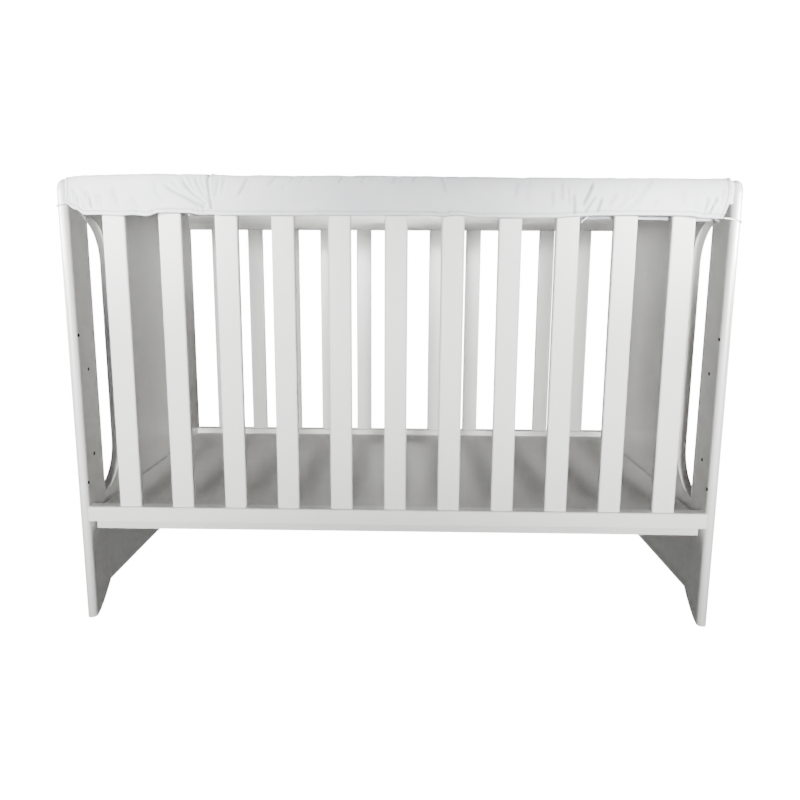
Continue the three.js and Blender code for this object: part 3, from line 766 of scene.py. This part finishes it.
def upper_creases() -> list[Crease]:
    """Soft creases that cross the top and run down the rear flap.

    Returns:
        The creases from left to right.
    """
    return [
        Crease(((-600, 944), (-590, 962), (-584, 985)), 0.7, 6.0),
        Crease(((-520, 946), (-508, 970), (-500, 1000)), 0.8, 7.0),
        Crease(((-424, 940), (-428, 958), (-418, 985), (-402, 1020)), 1.0, 4.5, 0.5),
        Crease(((-395, 940), (-394, 962), (-386, 995), (-376, 1030)), 1.1, 4.0, 0.5),
        Crease(((-367, 944), (-366, 965), (-362, 1000), (-364, 1042)), 2.2, 3.6, 0.5, (0.05, 0.05)),
        Crease(((-346, 942), (-344, 966), (-350, 1005), (-356, 1035)), 0.9, 4.5, 0.5),
        Crease(((-289, 938), (-284, 960), (-292, 992)), 0.8, 5.0),
        Crease(((-201, 938), (-196, 958), (-202, 990)), 0.6, 5.0),
        Crease(((-103, 940), (-98, 960), (-104, 1000)), 0.8, 5.0),
        Crease(((2, 940), (8, 965), (3, 1000)), 0.6, 6.0),
        Crease(((86, 942), (84, 962), (86, 1000), (85, 1035)), 0.9, 5.0),
        Crease(((180, 946), (188, 980), (184, 1015)), 0.6, 7.0),
        Crease(((262, 944), (268, 975), (262, 1010)), 0.6, 7.0),
        Crease(((340, 944), (346, 970), (352, 1005), (360, 1035)), 1.1, 4.5, 0.5),
        Crease(((382, 942), (384, 966), (378, 1000), (370, 1034)), 1.0, 4.5, 0.5),
        Crease(((470, 944), (474, 975), (466, 1010)), 0.6, 7.0),
        Crease(((560, 944), (556, 975), (562, 1010)), 0.6, 7.0),
        Crease(((622, 946), (618, 975), (612, 1005)), 0.7, 5.0),
    ]


@dataclass(frozen=True)
class Hem:
    """A turned hem: a raised band, its stitched groove and a swell past it.

    The groove and the swell are a height, what a pucker adds to it, and a
    width. The painted shade at the stitches is a share and a width, and the painted shadow at the cloth's
    edge is a share and a reach.
    """

    width: float
    rise: tuple[float, float] = (-0.2, 1.4)
    fall: tuple[float, float] = (1.6, 0.2)
    raised: float = 0.7
    groove: tuple[float, float, float] = (0.75, 0.3, 1.15)
    swell: tuple[float, float, float] = (0.4, 0.4, 1.9)
    swell_away: float = 3.4
    stitch_shade: tuple[float, float] = (0.7, 1.1)
    edge_shade: float = 0.8
    edge_reach: tuple[float, float] = (0.0, 2.0)

    def relief(self, b: Points, pucker: Points | float = 0.0) -> Points:
        """How far the hem stands out.

        Args:
            b: Distance from the cloth's edge.
            pucker: How drawn up the hem is, around zero.

        Returns:
            Heights in millimetres.
        """
        fall_from, fall_to = (self.width - inset for inset in self.fall)
        crown = self.raised * smooth(*self.rise, b) * (1 - smooth(fall_from, fall_to, b))
        depth, drawn, spread = self.groove
        groove = -(depth + drawn * pucker) * bell(b - self.width, spread)
        height, drawn, spread = self.swell
        above = (height + drawn * pucker) * bell(b - self.width - self.swell_away, spread)
        return crown + groove + above

    def stitched(self, b: Points) -> Points:
        """Painted shade in the hem's stitched groove."""
        share, spread = self.stitch_shade
        return share * bell(b - self.width, spread)

    def turned(self, b: Points) -> Points:
        """Painted shadow along the cloth's edge."""
        return self.edge_shade * (1 - smooth(*self.edge_reach, b))


LONG_HEM = Hem(7.8)
END_HEM = Hem(6.5, rise=(-0.2, 1.0), fall=(1.4, 0.2), groove=(0.55, 0.0, 1.0), swell=(0.25, 0.0, 1.6),
              swell_away=3.0, stitch_shade=(0.8, 1.2), edge_shade=0.9, edge_reach=(0.2, 2.2))

# Mesh columns: up to this place along the rail, at this distance apart
COLUMNS = (
    (-642.0, 0.9), (-600.0, 1.8), (-470.0, 2.8), (-335.0, 2.0), (-280.0, 3.0),
    (290.0, 4.0), (405.0, 2.1), (590.0, 4.0), (636.0, 2.0))

# Mesh rows next to a long edge: distances from the edge
HEM_ROWS = np.array([
    0, 0.5, 1.2, 2.2, 3.4, 4.6, 5.6, 6.3, 6.9, 7.4, 7.9, 8.5, 9.2, 10.1, 11.2, 12.4, 13.8])

# Rings of one stitch: share of its length, height over the cloth and thickness
STITCH_RINGS = np.array([(0, -0.25, 0.6), (0.3, 0.12, 1), (0.5, 0.2, 1), (0.7, 0.12, 1), (1, -0.25, 0.6)])


@dataclass
class RailCover:
    """The cloth folded over the rail, with its hems and topstitching."""

    left: float = -652.5
    right: float = 646.0
    front_line: float = -5.5
    rear_line: float = 32.5
    shoulder_depth: float = 13.0
    shoulder_height: float = 24.0
    cloth: float = 2.0
    hem: Hem = LONG_HEM
    end_hem: Hem = END_HEM
    rear_phase: float = 1.9
    rear_bulge: float = 1.5
    lean: float = 13.0
    lean_from: float = 903.0
    lean_height: float = 46.0
    lean_reach: float = 60.0
    lean_limit: float = 1.1
    lean_power: float = 1.6
    tip_raise: float = 1.6
    tip_width: float = 3.0
    tip_reach: float = 14.0
    slack_at_hem: float = 0.35
    slack_from: tuple[float, float] = (10.0, 24.0)
    wave_share: float = 0.6
    crumple_share: float = 0.8
    crumple_size: tuple[float, float] = (26.0, 17.0)
    stitch: float = 2.8
    stitch_gap: float = 0.9
    stitch_margin: float = 2.0
    thread: float = 0.3
    thread_sides: int = 5
    end_step: float = 0.9
    flap_rows: int = 24
    crown_rows: int = 30
    # Painted shade in the crease troughs, and a band of painted shade along the front shoulder that grows
    # towards the right end
    crease_shade: float = 0.85
    crease_full: float = 2.4
    crease_power: float = 1.2
    shoulder_shade_from: tuple[float, float] = (-200.0, 350.0)
    shoulder_shade_place: float = 0.8
    shoulder_shade_reach: float = 24.0
    shoulder_shade_share: float = 0.48
    creases: list[Crease] = field(default_factory=lambda: front_creases() + upper_creases())

    @property
    def arc(self) -> float:
        """Length of the cloth round one shoulder."""
        mean = (self.shoulder_depth + self.shoulder_height) / 2
        return math.pi / 2 * mean

    @property
    def flat_top(self) -> float:
        """Width of the level strip between the shoulders."""
        return self.rear_line - self.front_line - 2 * self.shoulder_depth

    def section(self, x: Points) -> tuple[Points, ...]:
        """Section values at places along the rail.

        Args:
            x: Places along the rail.

        Returns:
            Front hem, rear hem, top, bulge and sway at each place.
        """
        index = np.clip(np.searchsorted(SECTIONS[:, 0], x) - 1, 0, len(SECTIONS) - 2)
        low = SECTIONS[index]
        high = SECTIONS[index + 1]
        part = smooth(low[..., 0], high[..., 0], x)
        return tuple(low[..., k] + (high[..., k] - low[..., k]) * part for k in range(1, 6))

    def reach(self, x: Points) -> Points:
        """Length of the cloth from the front hem to the rear hem.

        Args:
            x: Places along the rail.

        Returns:
            Lengths in millimetres.
        """
        hem, rear, top, _, _ = self.section(x)
        shoulder = top - self.shoulder_height
        return (shoulder - hem) + (shoulder - rear) + 2 * self.arc + self.flat_top

    def from_end(self, x: Points) -> Points:
        """Distance from the nearer end of the cloth."""
        return np.minimum(x - self.left, self.right - x)

    def long_band(self, b: Points, x: Points, phase: float) -> Points:
        """How far a long hem stands out, with the puckers of its seam.

        Args:
            b: Distance from the hem's edge.
            x: Places along the rail.
            phase: Where the puckers start.

        Returns:
            Heights in millimetres.
        """
        pucker = 0.22 * np.sin(x / 3.1 + phase) + 0.2 * np.sin(x / 5.3 + 2 * phase)
        return self.hem.relief(b, pucker) + 0.5 * pucker * bell(b - 0.5 * self.hem.width, 3.0)

    def painted_shade(self, x: Points, s: Points) -> Points:
        """How much painted shade the cloth gets: in creases, at stitches and edges, and along the front
        shoulder.

        Args:
            x: Places along the rail.
            s: Lengths along the cloth from the front hem.

        Returns:
            Shares from 0 to 1.
        """
        hem, _, top, _, _ = self.section(x)
        across = np.minimum(s, self.reach(x) - s)
        end = self.from_end(x)
        folds = sum(crease.relief(x, hem + s) for crease in self.creases)
        # Painted shade in the creases' troughs
        crease_shadow = self.crease_shade * np.clip(folds / self.crease_full, 0, 1) ** self.crease_power
        # Painted shade in the stitched grooves and painted shadow along the cloth's edges
        stitched = np.maximum(self.hem.stitched(across), self.end_hem.stitched(end))
        turned = np.maximum(self.hem.turned(across), self.end_hem.turned(end))
        # A band of painted shade along the front shoulder, stronger towards the right end
        edge = top - self.shoulder_height - hem + self.shoulder_shade_place * self.arc
        shoulder_shade = self.shoulder_shade_share * smooth(*self.shoulder_shade_from, x) * bell(s - edge, self.shoulder_shade_reach)
        return np.clip(crease_shadow + stitched + turned + shoulder_shade, 0, 1)

    def unevenness(self, x: Points, s: Points) -> Points:
        """Gentle waves of slack cloth, from long to short, and fine crumpling.

        Args:
            x: Places along the rail.
            s: Lengths along the cloth from the front hem.

        Returns:
            Heights in millimetres, around zero.
        """
        wave = (
            0.45 * np.sin(x / 31 + 0.7) * np.sin(s / 21 + 0.3)
            + 0.3 * np.sin(x / 17.3 + s / 40 + 2.0)
            + 0.22 * np.sin(x / 9.1 - s / 13 + 0.5) * np.sin(x / 57 + 1.0)
        )
        wide, high = self.crumple_size
        fine = np.array([
            noise.fractal(Vector((px / wide, ps / high, 3.1)), 0.6, 2.2, 4)
            for px, ps in zip(x.ravel(), s.ravel())
        ]).reshape(x.shape)
        return wave * self.wave_share + fine * self.crumple_share

    def surface(self, x: Points, s: Points, lift: float = 0.0) -> Points:
        """The outer face of the cloth.

        Args:
            x: Places along the rail.
            s: Lengths along the cloth from the front hem.
            lift: Extra distance outwards.

        Returns:
            Points in millimetres.
        """
        hem, rear, top, bulge, sway = self.section(x)
        shoulder = top - self.shoulder_height
        front = shoulder - hem
        total = self.reach(x)
        back = total - s

        over_front = front + self.arc
        over_flat = over_front + self.flat_top
        over_rear = over_flat + self.arc
        turn_front = np.clip((s - front) / self.arc, 0, 1) * math.pi / 2
        turn_rear = np.clip((over_rear - s) / self.arc, 0, 1) * math.pi / 2
        on_front = s < over_front + self.flat_top / 2

        y_front = self.front_line + self.shoulder_depth * (1 - np.cos(turn_front))
        y_rear = self.rear_line - self.shoulder_depth * (1 - np.cos(turn_rear))
        y = np.where(on_front, y_front, y_rear)
        y = y + np.where((s > over_front) & on_front, s - over_front, 0)
        y = y - np.where((s < over_flat) & ~on_front, over_flat - s, 0)
        z_front = hem + np.clip(s, None, front) + self.shoulder_height * np.sin(turn_front)
        z_rear = rear + np.clip(back, None, shoulder - rear) + self.shoulder_height * np.sin(turn_rear)
        z = np.where(on_front, z_front, z_rear)
        out_y = np.where(on_front, -np.cos(turn_front), np.cos(turn_rear))
        out_z = np.where(on_front, np.sin(turn_front), np.sin(turn_rear))

        rise = np.clip(s / front, 0, 1)
        rise_rear = np.clip(back / (shoulder - rear), 0, 1)
        bellied = np.where(on_front, bulge * np.sin(math.pi * rise) + sway * (1 - rise) ** 2,
                           self.rear_bulge * np.sin(math.pi * rise_rear))
        folds = sum(crease.relief(x, hem + s) for crease in self.creases)
        loose = smooth(*self.slack_from, np.minimum(s, back))
        slack = self.unevenness(x, s) * (self.slack_at_hem + (1 - self.slack_at_hem) * loose)
        bands = np.where(on_front, self.long_band(s, x, 0.0), self.long_band(back, x, self.rear_phase))
        offset = bellied - folds + slack + bands + self.end_hem.relief(self.from_end(x)) + lift

        tip = self.tip_raise * bell(x - self.right, self.tip_width) * bell(s - over_front, self.tip_reach)
        near = smooth(self.right - self.lean_reach, self.right, x)
        low = np.clip((self.lean_from - z) / self.lean_height, 0, self.lean_limit)
        drawn = self.lean * near * low ** self.lean_power
        return np.stack([x - drawn, y + out_y * offset, z + out_z * offset + tip], axis=-1)

    def columns(self) -> Points:
        """Places of the mesh's columns, closer where the cloth is gathered.

        Returns:
            Places along the rail.
        """
        places = [self.left]
        for end, step in (*COLUMNS, (self.right, self.end_step)):
            count = max(1, round((end - places[-1]) / step))
            places += np.linspace(places[-1], end, count + 1)[1:].tolist()
        return np.array(places)

    def rows(self, x: Points) -> Points:
        """Lengths along the cloth of the mesh's rows.

        Args:
            x: Places of the columns along the rail.

        Returns:
            One row of lengths for each column.
        """
        hem, rear, top, _, _ = self.section(x)
        front = top - self.shoulder_height - hem
        total = self.reach(x)
        first = HEM_ROWS[-1]
        flap = np.linspace(0, 1, self.flap_rows)[1:]
        over = np.linspace(0, 2 * self.arc + self.flat_top, self.crown_rows)[1:-1]
        fore = first + flap[None, :] * (front[:, None] - first)
        crown = front[:, None] + over[None, :]
        back = total[:, None] - (first + flap[None, ::-1] * (
            (top - self.shoulder_height - rear)[:, None] - first))
        edge = np.broadcast_to(HEM_ROWS, (len(x), len(HEM_ROWS)))
        return np.concatenate([edge, fore, crown, back, total[:, None] - edge[:, ::-1]], axis=1)

    def build_cloth(self, material: bpy.types.Material) -> bpy.types.Object:
        """Builds the cloth as one thin sheet with its thickness.

        Args:
            material: The cotton.

        Returns:
            The sheet.
        """
        x = self.columns()
        s = self.rows(x)
        grid = np.broadcast_to(x[:, None], s.shape)
        points = self.surface(grid, s).reshape(-1, 3)
        cut = np.stack([grid, s], axis=-1).reshape(-1, 2)
        piece = add_piece("rail_cover_cloth", points, grid_faces(*s.shape), material, cut)
        # Painted shade for the cotton, stored at the points: creases, stitches, edges and the front
        # shoulder
        shade_marks = piece.data.attributes.new("painted_shade", "FLOAT", "POINT")
        shade_marks.data.foreach_set("value", self.painted_shade(grid, s).astype(np.float32).ravel())
        shell = piece.modifiers.new("thickness", "SOLIDIFY")
        shell.thickness = self.cloth * MM
        shell.offset = -1
        shell.use_rim = True
        shell.use_even_offset = False
        return piece

    def build_stitching(self, material: bpy.types.Material) -> bpy.types.Object:
        """Builds the topstitching along the hems as small sewn-in threads.

        Args:
            material: The thread.

        Returns:
            All stitches as one piece.
        """
        pitch = self.stitch + self.stitch_gap
        hem = self.hem.width
        end_hem = self.end_hem.width
        margin = end_hem + self.stitch_margin
        share, height, size = STITCH_RINGS.T
        count = len(STITCH_RINGS)
        runs = []
        for start in np.arange(self.left + margin, self.right - margin - self.stitch, pitch):
            x = start + share * self.stitch
            runs.append((x, np.full(count, hem)))
            runs.append((x, self.reach(x) - hem))
        for edge in (self.left + end_hem, self.right - end_hem):
            length = float(self.reach(np.array([edge]))[0])
            for start in np.arange(hem + 1, length - hem - self.stitch, pitch):
                runs.append((np.full(count, edge), start + share * self.stitch))
        x = np.array([run[0] for run in runs])
        s = np.array([run[1] for run in runs])
        middle = self.surface(x, s)
        outer = self.surface(x, s, 1.0) - middle
        middle = middle + outer * height[None, :, None]
        along = np.gradient(middle, axis=1)
        along /= np.linalg.norm(along, axis=-1, keepdims=True)
        across = np.cross(along, outer)
        across /= np.linalg.norm(across, axis=-1, keepdims=True)
        sides = self.thread_sides
        angle = np.arange(sides) / sides * 2 * math.pi
        radius = self.thread * size
        rings = middle[:, :, None, :] + radius[None, :, None, None] * (
            np.cos(angle)[None, None, :, None] * across[:, :, None, :]
            + np.sin(angle)[None, None, :, None] * outer[:, :, None, :])
        faces = []
        for i in range(len(runs)):
            first = i * count * sides
            faces += grid_faces(count, sides, first, closed=True)
            faces.append(tuple(first + k for k in range(sides)))
            faces.append(tuple(first + count * sides - 1 - k for k in range(sides)))
        piece = add_piece("hem_topstitching", rings.reshape(-1, 3), faces, material)
        LOG.info("%s: %d stitches", piece.name, len(runs))
        return piece

    def build(self) -> None:
        """Builds the cover and hides its plain solid."""
        cloth = self.build_cloth(COVER_COTTON.material())
        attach(cloth, ROOT)
        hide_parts("rail_cover")
        stitching = self.build_stitching(HEM_THREAD.material())
        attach(stitching, ROOT)
        across = float(self.reach(np.array([0.0]))[0]) * MM


# An end tie's last run, inside the end board: share of the way forward, and
# share of the way to the cover's end
INSIDE_RUN = ((0, 0), (0.25, 0), (0.5, 0.02), (0.72, 0.12), (0.88, 0.42), (1, 1))


@dataclass(frozen=True)
class EndTie:
    """A narrow tie from the cover's end round a front post."""

    side: int
    start: tuple[float, float, float]
    crossing: tuple[float, float]
    back: float
    finish: tuple[float, float, float]
    node: str
    middle: float = 665.0
    bullnose: float = 10.0
    post_depth: float = 81.0
    front_wrap: float = 11.9
    side_wrap: float = 12.5
    corner_inset: float = 0.5
    lead: float = 2.4
    rear_lead: float = 6.0
    inside_reach: float = 8.0
    front_steps: int = 5
    step: float = 1.1
    wobble: float = 0.6
    wobble_pace: float = 0.09
    band: Band = Band(3.2, 1.8)

    def route(self) -> list[tuple[float, float, float]]:
        """Points from the front corner round the post to the rear corner.

        Returns:
            The points in the crib's layout.
        """
        x, y, z = self.start
        points = [self.start, (x + self.side * self.lead, y, z)]
        for i in range(self.front_steps + 1):
            angle = math.radians(90 * i / self.front_steps)
            height = self.crossing[0] + (self.crossing[1] - self.crossing[0]) * i / self.front_steps
            points.append((self.side * (self.middle + self.front_wrap * math.sin(angle)),
                           self.bullnose - self.front_wrap * math.cos(angle), height))
        outer = self.side * (self.middle + self.side_wrap)
        points.append((outer, self.post_depth / 2, (self.crossing[1] + self.back) / 2))
        points.append((outer, self.post_depth - self.rear_lead, self.back))
        turn = self.side_wrap - self.bullnose + self.corner_inset
        for corner, first in ((1, 0), (-1, 90)):
            centre = self.middle + corner * (self.bullnose - self.corner_inset)
            for degrees in (0, 30, 60, 90):
                angle = math.radians(first + degrees)
                points.append((self.side * (centre + turn * math.cos(angle)),
                               self.post_depth - self.corner_inset + turn * math.sin(angle), self.back))
        inside = self.side * (self.middle - self.side_wrap)
        reach = self.post_depth - self.inside_reach
        for part, turned in INSIDE_RUN:
            points.append((inside + (self.finish[0] - inside) * turned,
                           reach + (self.finish[1] - reach) * part,
                           self.back + (self.finish[2] - self.back) * part))
        return points

    def build(self, material: bpy.types.Material) -> None:
        """Builds the tie as a flat folded band.

        Args:
            material: The tie's cotton.
        """
        line = rounded_path(self.route(), self.step)
        wobble = np.array([
            noise.noise(Vector((i * self.wobble_pace, self.side * 3.0, 0.5))) for i in range(len(line))])
        line[:, 2] += self.wobble * wobble
        points, faces = self.band.sweep(line, (0, 0, 1))
        piece = add_piece(f"{self.node}_band", points, faces, material)
        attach(piece, ROOT)
        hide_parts(self.node)
        LOG.info("%s: %.0f mm long", self.node, np.linalg.norm(np.diff(line, axis=0), axis=1).sum())


@dataclass(frozen=True)
class RailTie:
    """A short tie that closes the cover under the rail, with one free end."""

    name: str
    x: float
    y: float
    z: float
    front: float
    rear: float
    length: float
    route: tuple[tuple[float, float, float], ...]
    diameter: float = 2.4
    knot_radius: float = 2.3
    knot_half: float = 4.2
    knot_points: int = 73
    knot_gap: float = 2.2
    strap_points: int = 12
    sag: float = 0.3
    band: Band = Band(2.6, 1.8)
    strand: Band = Band(1.9, 1.7, 10)

    def end_points(self) -> Points:
        """The free end's points in the crib's layout."""
        return np.array(self.route) + np.array([self.x, self.y, self.z])

    def build_end(self, material: bpy.types.Material) -> None:
        """Args:
            material: The tie's cotton.
        """
        points = placed(self.end_points())
        curve = bpy.data.curves.new(f"rail_tie_end_{self.name}_cord", "CURVE")
        curve.dimensions = "3D"
        curve.resolution_u = 6
        curve.bevel_depth = self.diameter / 2 * MM
        curve.bevel_resolution = 4
        curve.use_fill_caps = True
        spline = curve.splines.new("BEZIER")
        spline.bezier_points.add(len(points) - 1)
        for knot, point in zip(spline.bezier_points, points):
            knot.co = point
            knot.handle_left_type = "AUTO"
            knot.handle_right_type = "AUTO"
        curve.materials.append(material)
        piece = linked(curve.name, curve)
        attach(piece, ROOT)
        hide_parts(f"rail_tie_end_{self.name}")
        LOG.info("free end %s: %.0f mm long", self.name, self.length)

    def knot_line(self) -> Points:
        """The centre line of the overhand knot.

        Returns:
            A closed line in the crib's layout.
        """
        turn = np.linspace(0, 2 * math.pi, self.knot_points)
        x = (np.sin(turn) + 2 * np.sin(2 * turn)) / 3 * self.knot_radius
        z = (np.cos(turn) - 2 * np.cos(2 * turn)) / 3 * self.knot_radius
        y = -np.sin(3 * turn) * self.knot_half * 0.45
        return np.stack([x + self.x, y + self.y, z + self.z], axis=1)

    def build_strap(self, material: bpy.types.Material) -> None:
        """Builds the strap from flap to flap with its knot.

        Args:
            material: The tie's cotton.
        """
        ahead = np.linspace(self.front, self.y - self.knot_gap, self.strap_points)
        behind = np.linspace(self.y + self.knot_gap, self.rear, self.strap_points)
        sag = self.sag * np.sin(np.linspace(0, math.pi, self.strap_points))
        across = np.full(self.strap_points, self.x)
        parts = [self.band.sweep(np.stack([across, run, self.z - sag], axis=1), (1, 0, 0))
                 for run in (ahead, behind)]
        parts.append(self.strand.sweep(self.knot_line(), (0.2, 1, 0.1), 1.0))
        points, faces = joined(parts)
        piece = add_piece(f"rail_tie_{self.name}_strap", points, faces, material)
        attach(piece, ROOT)
        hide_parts(f"rail_tie_{self.name}")
        LOG.info("%s: %.0f mm from flap to flap", piece.name, self.rear - self.front)


RAIL_TIES = (
    RailTie("left", -150.0, 13.5, 867.5, -1.6, 29.0, 32.0, (
        (3.5, -2.3, -1.0), (5.0, -2.45, -1.4), (6.5, -2.5, -1.9), (9.0, -3.2, -2.8), (10.8, -5.0, -4.0),
        (11.5, -7.5, -5.4), (10.8, -10.0, -6.7), (9.0, -11.8, -7.6), (6.5, -12.5, -8.0), (4.2, -12.5, -8.1),
        (1.8, -12.4, -7.9), (-0.4, -12.2, -7.4), (-2.4, -12.0, -6.8), (-3.8, -11.9, -6.4),
        (-5.2, -11.8, -6.1))),
    RailTie("middle", 84.0, 13.5, 866.5, -2.0, 29.4, 30.0, (
        (0.4, 7.4, -4.1), (0.2, 4.6, -4.6), (0.1, 2.0, -5.0), (0.0, 0.0, -5.2), (-0.1, -2.0, -5.5),
        (-0.3, -4.0, -5.9), (-0.8, -6.0, -6.5), (-1.8, -7.8, -7.3), (-3.2, -9.2, -8.3), (-5.0, -10.2, -9.4),
        (-6.9, -10.9, -10.5), (-8.7, -11.3, -11.6), (-10.4, -11.5, -12.7), (-11.9, -11.6, -13.7),
        (-13.2, -11.6, -14.5))),
    RailTie("right", 366.5, 13.5, 867.5, -1.6, 29.4, 30.0, (
        (3.5, -0.5, 0.2), (5.2, -1.2, 0.1), (6.9, -2.0, -0.5), (8.4, -2.8, -1.7), (9.4, -3.6, -3.3),
        (9.7, -4.4, -5.1), (9.3, -5.2, -6.9), (8.3, -6.0, -8.5), (6.9, -6.8, -9.9), (5.3, -7.6, -11.1),
        (3.6, -8.4, -12.3), (1.9, -9.1, -13.5), (0.2, -9.7, -14.8), (-1.5, -10.2, -16.3),
        (-3.3, -10.6, -18.1))),
)

END_TIES = (
    EndTie(-1, (-652.83, -4.2, 883.4), (880.0, 878.5), 858.0, (-650.6, 35.1, 883.5), "end_tie_left"),
    EndTie(1, (637.2, -4.2, 857.6), (853.4, 850.8), 850.5, (638.0, 35.1, 858.0), "end_tie_right"),
)


@dataclass
class Crib:
    """The plain crib: its carried-over solids, painted, and its fixing holes."""

    inner_half: float = 655.0
    hole_places: tuple[tuple[float, float], ...] = (
        (12.5, 620.0), (43.0, 545.0), (43.0, 360.0), (11.0, 305.0))
    hole_sides: int = 24
    # Rings from a hole's centre that carry the painted shade of the bore
    hole_dark_rings: int = 2
    hole_profile: tuple[tuple[float, float], ...] = (
        (0.0, 0.05), (3.7, 0.06), (3.9, 0.16), (4.2, 0.2), (4.6, 0.14), (4.8, 0.0))

    def paint(self) -> None:
        """Gives each wooden solid its paint, with the grain along its length."""
        rails = RAIL_PAINT.material()
        slats = SLAT_PAINT.material()
        boards = END_PAINT.material()
        base = BASE_PAINT.material()
        for name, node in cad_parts.items():
            if "tie" in name or name == "rail_cover":
                continue
            if name.startswith("base"):
                material = base
            elif "slat" in name:
                material = slats
            elif "post" in name or "panel" in name:
                material = boards
            else:
                material = rails
            node.data.materials.clear()
            node.data.materials.append(material)
            LOG.info("%s: %s", name, material.name)

    def build_holes(self) -> None:
        """Sets the fixing holes, as discs of painted bore shade with rims, on the inner faces of the front
        posts.
        """
        # The holes are not cut: each is a flat disc painted with the bore's shade, ringed by a paint rim
        dark = PaintedBoreShade().material()
        rim = SLAT_PAINT.material()
        sides = self.hole_sides
        for name, side in (("left", 1), ("right", -1)):
            points = []
            faces = []
            rims = []
            for y, z in self.hole_places:
                first = len(points)
                for radius, height in self.hole_profile:
                    for k in range(sides):
                        angle = 2 * math.pi * k / sides * side
                        points.append((side * (height - self.inner_half), y + radius * math.cos(angle),
                                       z + radius * math.sin(angle)))
                ring = grid_faces(len(self.hole_profile), sides, first, closed=True)
                faces += ring
                rims += [int(k >= self.hole_dark_rings * sides) for k in range(len(ring))]
            piece = add_piece(f"fixing_holes_{name}", np.array(points), faces, dark)
            piece.data.materials.append(rim)
            piece.data.polygons.foreach_set("material_index", rims)
            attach(piece, ROOT)
            LOG.info("%s: %d holes", piece.name, len(self.hole_places))


@dataclass(frozen=True)
class Lamp:
    """One soft rectangular studio light, in metres, watts and degrees."""

    name: str
    place: tuple[float, float, float]
    aim: tuple[float, float, float]
    size: tuple[float, float]
    power: float
    spread: float

    def build(self) -> None:
        """Hangs the light and turns it to its aim."""
        data = bpy.data.lights.new(self.name, "AREA")
        data.spread = math.radians(self.spread)
        data.shape = "RECTANGLE"
        data.size, data.size_y = self.size
        data.energy = self.power
        lamp = linked(self.name, data)
        lamp.location = self.place
        lamp.rotation_euler = (Vector(self.aim) - Vector(self.place)).to_track_quat("-Z", "Y").to_euler()


@dataclass
class Studio:
    """Camera, floor and soft light, with the camera's angles in radians."""

    eye: tuple[float, float, float] = (23.82, -1273.0, 741.99)
    yaw: float = -0.0197
    pitch: float = 0.1534
    roll: float = 0.0047
    lens: float = 28.385
    shift: tuple[float, float] = (0.00654, -0.03191)
    floor_half: float = 40000.0
    room_light: float = 0.045
    wall_light: float = 16.3
    lamps: tuple[Lamp, ...] = (
        Lamp("front_left", (-0.5, -4.5, 0.8), (-0.7, -0.35, 0.66), (0.6, 0.6), 12.4, 26.0),
        Lamp("front_right", (0.5, -4.5, 0.8), (0.7, -0.35, 0.66), (0.6, 0.6), 12.4, 26.0),
        Lamp("front_fill", (0.0, -4.5, 0.7), (0.0, -0.2, 0.55), (1.6, 0.9), 5.0, 40.0),
        Lamp("side_left", (-3.6, -3.2, 1.05), (-0.54, -0.37, 0.9), (0.2, 0.2), 1.15, 7.0),
        Lamp("side_right", (3.6, -3.2, 1.05), (0.58, -0.37, 0.9), (0.2, 0.2), 1.35, 7.0),
        Lamp("end_left", (-4.0, 0.6, 0.5), (-0.66, 0.0, 0.5), (0.6, 0.6), 3.5, 40.0),
        Lamp("end_right", (4.0, 0.6, 0.5), (0.66, 0.0, 0.5), (0.6, 0.6), 3.5, 40.0),
        Lamp("back", (0.0, 6.5, 1.0), (0.0, 0.3, 0.6), (1.2, 1.2), 2.4, 20.0),
        Lamp("overhead", (0.0, -0.36, 3.0), (0.0, -0.36, 0.9), (1.2, 0.08), 0.16, 7.0),
    )

    def build_camera(self) -> None:
        """Sets the camera where the photograph was taken from."""
        cos_p, sin_p = math.cos(self.pitch), math.sin(self.pitch)
        ahead = Vector((math.sin(self.yaw) * cos_p, math.cos(self.yaw) * cos_p, -sin_p))
        level = Vector((math.cos(self.yaw), -math.sin(self.yaw), 0))
        raised = level.cross(ahead)
        right = level * math.cos(self.roll) + raised * math.sin(self.roll)
        up = raised * math.cos(self.roll) - level * math.sin(self.roll)
        data = bpy.data.cameras.new("camera")
        data.lens = self.lens
        data.shift_x, data.shift_y = self.shift
        camera = linked("camera", data)
        turn = Matrix((right, up, -ahead)).transposed().to_4x4()
        camera.matrix_world = Matrix.Translation(Vector(placed(np.array(self.eye)))) @ turn
        bpy.context.scene.camera = camera

    def build_floor(self) -> None:
        """Lays a plain pale floor."""
        material = StudioFloor().material()
        half = self.floor_half
        corners = np.array([(-half, -half, 0), (half, -half, 0), (half, half, 0), (-half, half, 0)])
        floor = add_piece("floor", corners, [(0, 1, 2, 3)], material)

    def build_light(self) -> None:
        """Hangs the lamps and lights the room evenly."""
        for lamp in self.lamps:
            lamp.build()
        world = bpy.data.worlds.new("studio")
        world.use_nodes = True
        bpy.context.scene.world = world
        shading = Shading(world.node_tree)
        room, wall = (
            shading.node("ShaderNodeBackground", {}, {"Color": (1, 1, 1, 1), "Strength": strength})
            for strength in (self.room_light, self.wall_light))
        seen = shading.node("ShaderNodeLightPath").outputs["Is Camera Ray"]
        mixed = shading.node("ShaderNodeMixShader", {}, {0: seen, 1: room.outputs[0], 2: wall.outputs[0]})
        shading.node("ShaderNodeOutputWorld", {}, {"Surface": mixed.outputs[0]})


def main() -> None:
    """Builds the whole scene."""
    logging.basicConfig(level=logging.INFO, format="%(name)s: %(message)s")
    studio = Studio()
    studio.build_camera()
    tie_cotton = TIE_COTTON.material()
    for tie in RAIL_TIES:
        tie.build_end(tie_cotton)
    RailCover().build()
    for tie in RAIL_TIES:
        tie.build_strap(tie_cotton)
    for tie in END_TIES:
        tie.build(tie_cotton)
    crib = Crib()
    crib.paint()
    crib.build_holes()
    studio.build_floor()
    studio.build_light()


if __name__ == "__main__":
    main()
